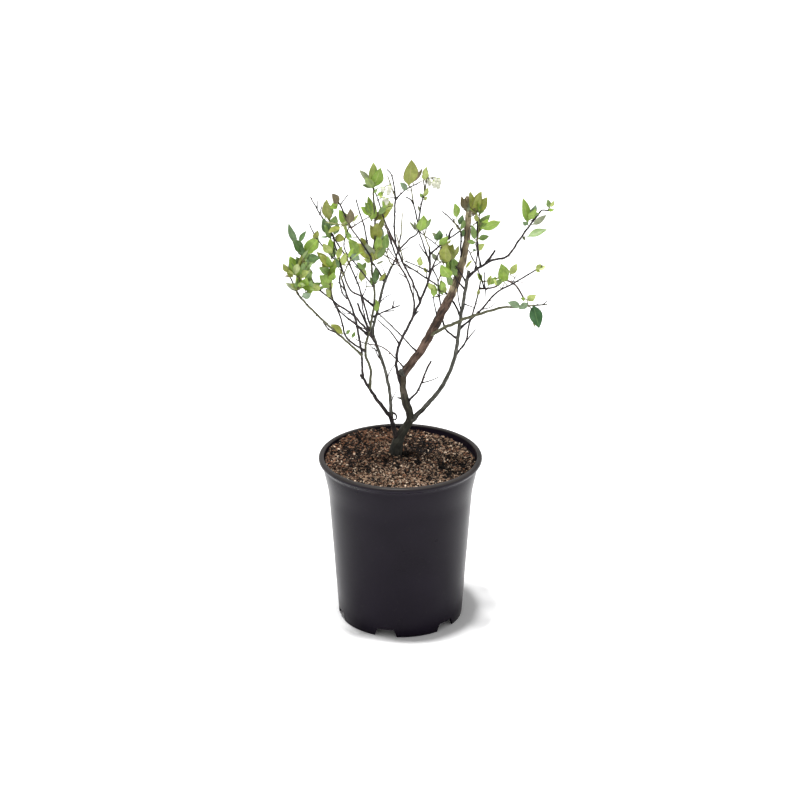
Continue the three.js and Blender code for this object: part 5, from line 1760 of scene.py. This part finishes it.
def in_a_leaf(pixel, feet, tips, wide):
    """Whether a place in the picture is in one of the leaves that show, or close to it."""
    ways = tips - feet
    lengths = np.linalg.norm(ways, axis=1)
    along = ((pixel - feet) * ways).sum(axis=1) / lengths**2
    off = np.linalg.norm(pixel - feet - ways * along[:, None], axis=1)
    half = wide / 2 * np.sin(np.pi * np.clip(along, 0, 1)) ** SHOWS_BLUNT + SHOWS_WITHIN
    return bool(((off < half) & (abs(along - 0.5) < SHOWS_REACH)).any())


def make_foliage(limbs, picture):
    """The bells and leaves that show, and those that the rule adds to each mass."""
    masses = [Mass(name, limbs) for name in MASSES]
    space = Space([limbs[name] for name in LIMBS], masses)
    foliage = Foliage()
    tips, feet, wide = (np.array(part, float) for part in zip(
        *[((u, v), (foot_u, foot_v), wide) for u, v, foot_u, foot_v, wide, _ in SEEN_LEAVES]))

    def shows(points):
        root, tip, *sides = points[:4]
        outline = [root, tip, *sides, sum(sides) / 2, *[(tip + side) / 2 for side in sides]]
        return all(in_a_leaf(pixel, feet, tips, wide) for pixel in picture.pixels(outline))

    flowers = np.array(SEEN_BELLS)[:, :2]

    def in_flower(point):
        return np.linalg.norm(flowers - picture.pixels([point])[0], axis=1).min() < FLOWERS_WITHIN

    carriers = Carriers(list(limbs.values()), picture)
    for mass in masses:
        carriers.grow([mass.at(share) for share in MASS_SHARES])
    for u, v, size in SEEN_BELLS:
        place, _ = carriers.nearest(u, v)
        foliage.bell(place, picture.place(u, v, place[1] - BELL["forward"]), size)
    grow_seen_leaves(foliage, carriers, picture)
    for number, mass in enumerate(masses):
        grow_mass(foliage, mass, number, space, shows, in_flower)
    stands_for = list(MASSES)
    tender = bark_finish("tender_twigs", *TENDER_SHADES)
    foliage.twigs.piece("leafy_twigs", [tender], "foliage", stands_for)
    petals = [petal_finish(part, colour) for part, colour in PETALS.items()]
    foliage.bells.piece("bells", petals, "foliage", stands_for)
    for tint, heap in foliage.leaves.items():
        heap.piece(f"{tint}_leaves", leaf_finishes(tint), "foliage", stands_for)


def middle_of(node):
    """The middle of the box of a node of the model, in metres."""
    low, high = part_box(node)
    return (np.array(low) + np.array(high)) / 2


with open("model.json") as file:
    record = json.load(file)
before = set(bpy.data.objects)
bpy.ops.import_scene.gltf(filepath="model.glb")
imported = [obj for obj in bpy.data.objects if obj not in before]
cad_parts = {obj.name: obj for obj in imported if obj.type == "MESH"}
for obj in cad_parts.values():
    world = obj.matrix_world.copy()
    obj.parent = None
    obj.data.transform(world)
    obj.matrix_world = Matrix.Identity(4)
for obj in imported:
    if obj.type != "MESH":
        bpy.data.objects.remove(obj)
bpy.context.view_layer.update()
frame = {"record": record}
POT_AXIS = middle_of("pot") * [1, 1, 0]
slots = {part["node"]: part["material_slot"] for part in frame["record"]["subparts"]}

picture = Picture()
make_stage()
make_camera()
make_pot()
make_soil(picture)
make_crumbs(picture)
limbs = {}
lay_out(LIMBS, limbs, picture, BARK_RELIEF)
lay_out(TWIGS, limbs, picture, STOUTER)
lay_out_drawn(DRAWN_TWIGS, limbs, picture)
limbs.update(grow_side_twigs(limbs))
bark, bud_bark = make_limbs(limbs, slots)
make_twigs(limbs, bark, bud_bark)
make_foliage(limbs, picture)
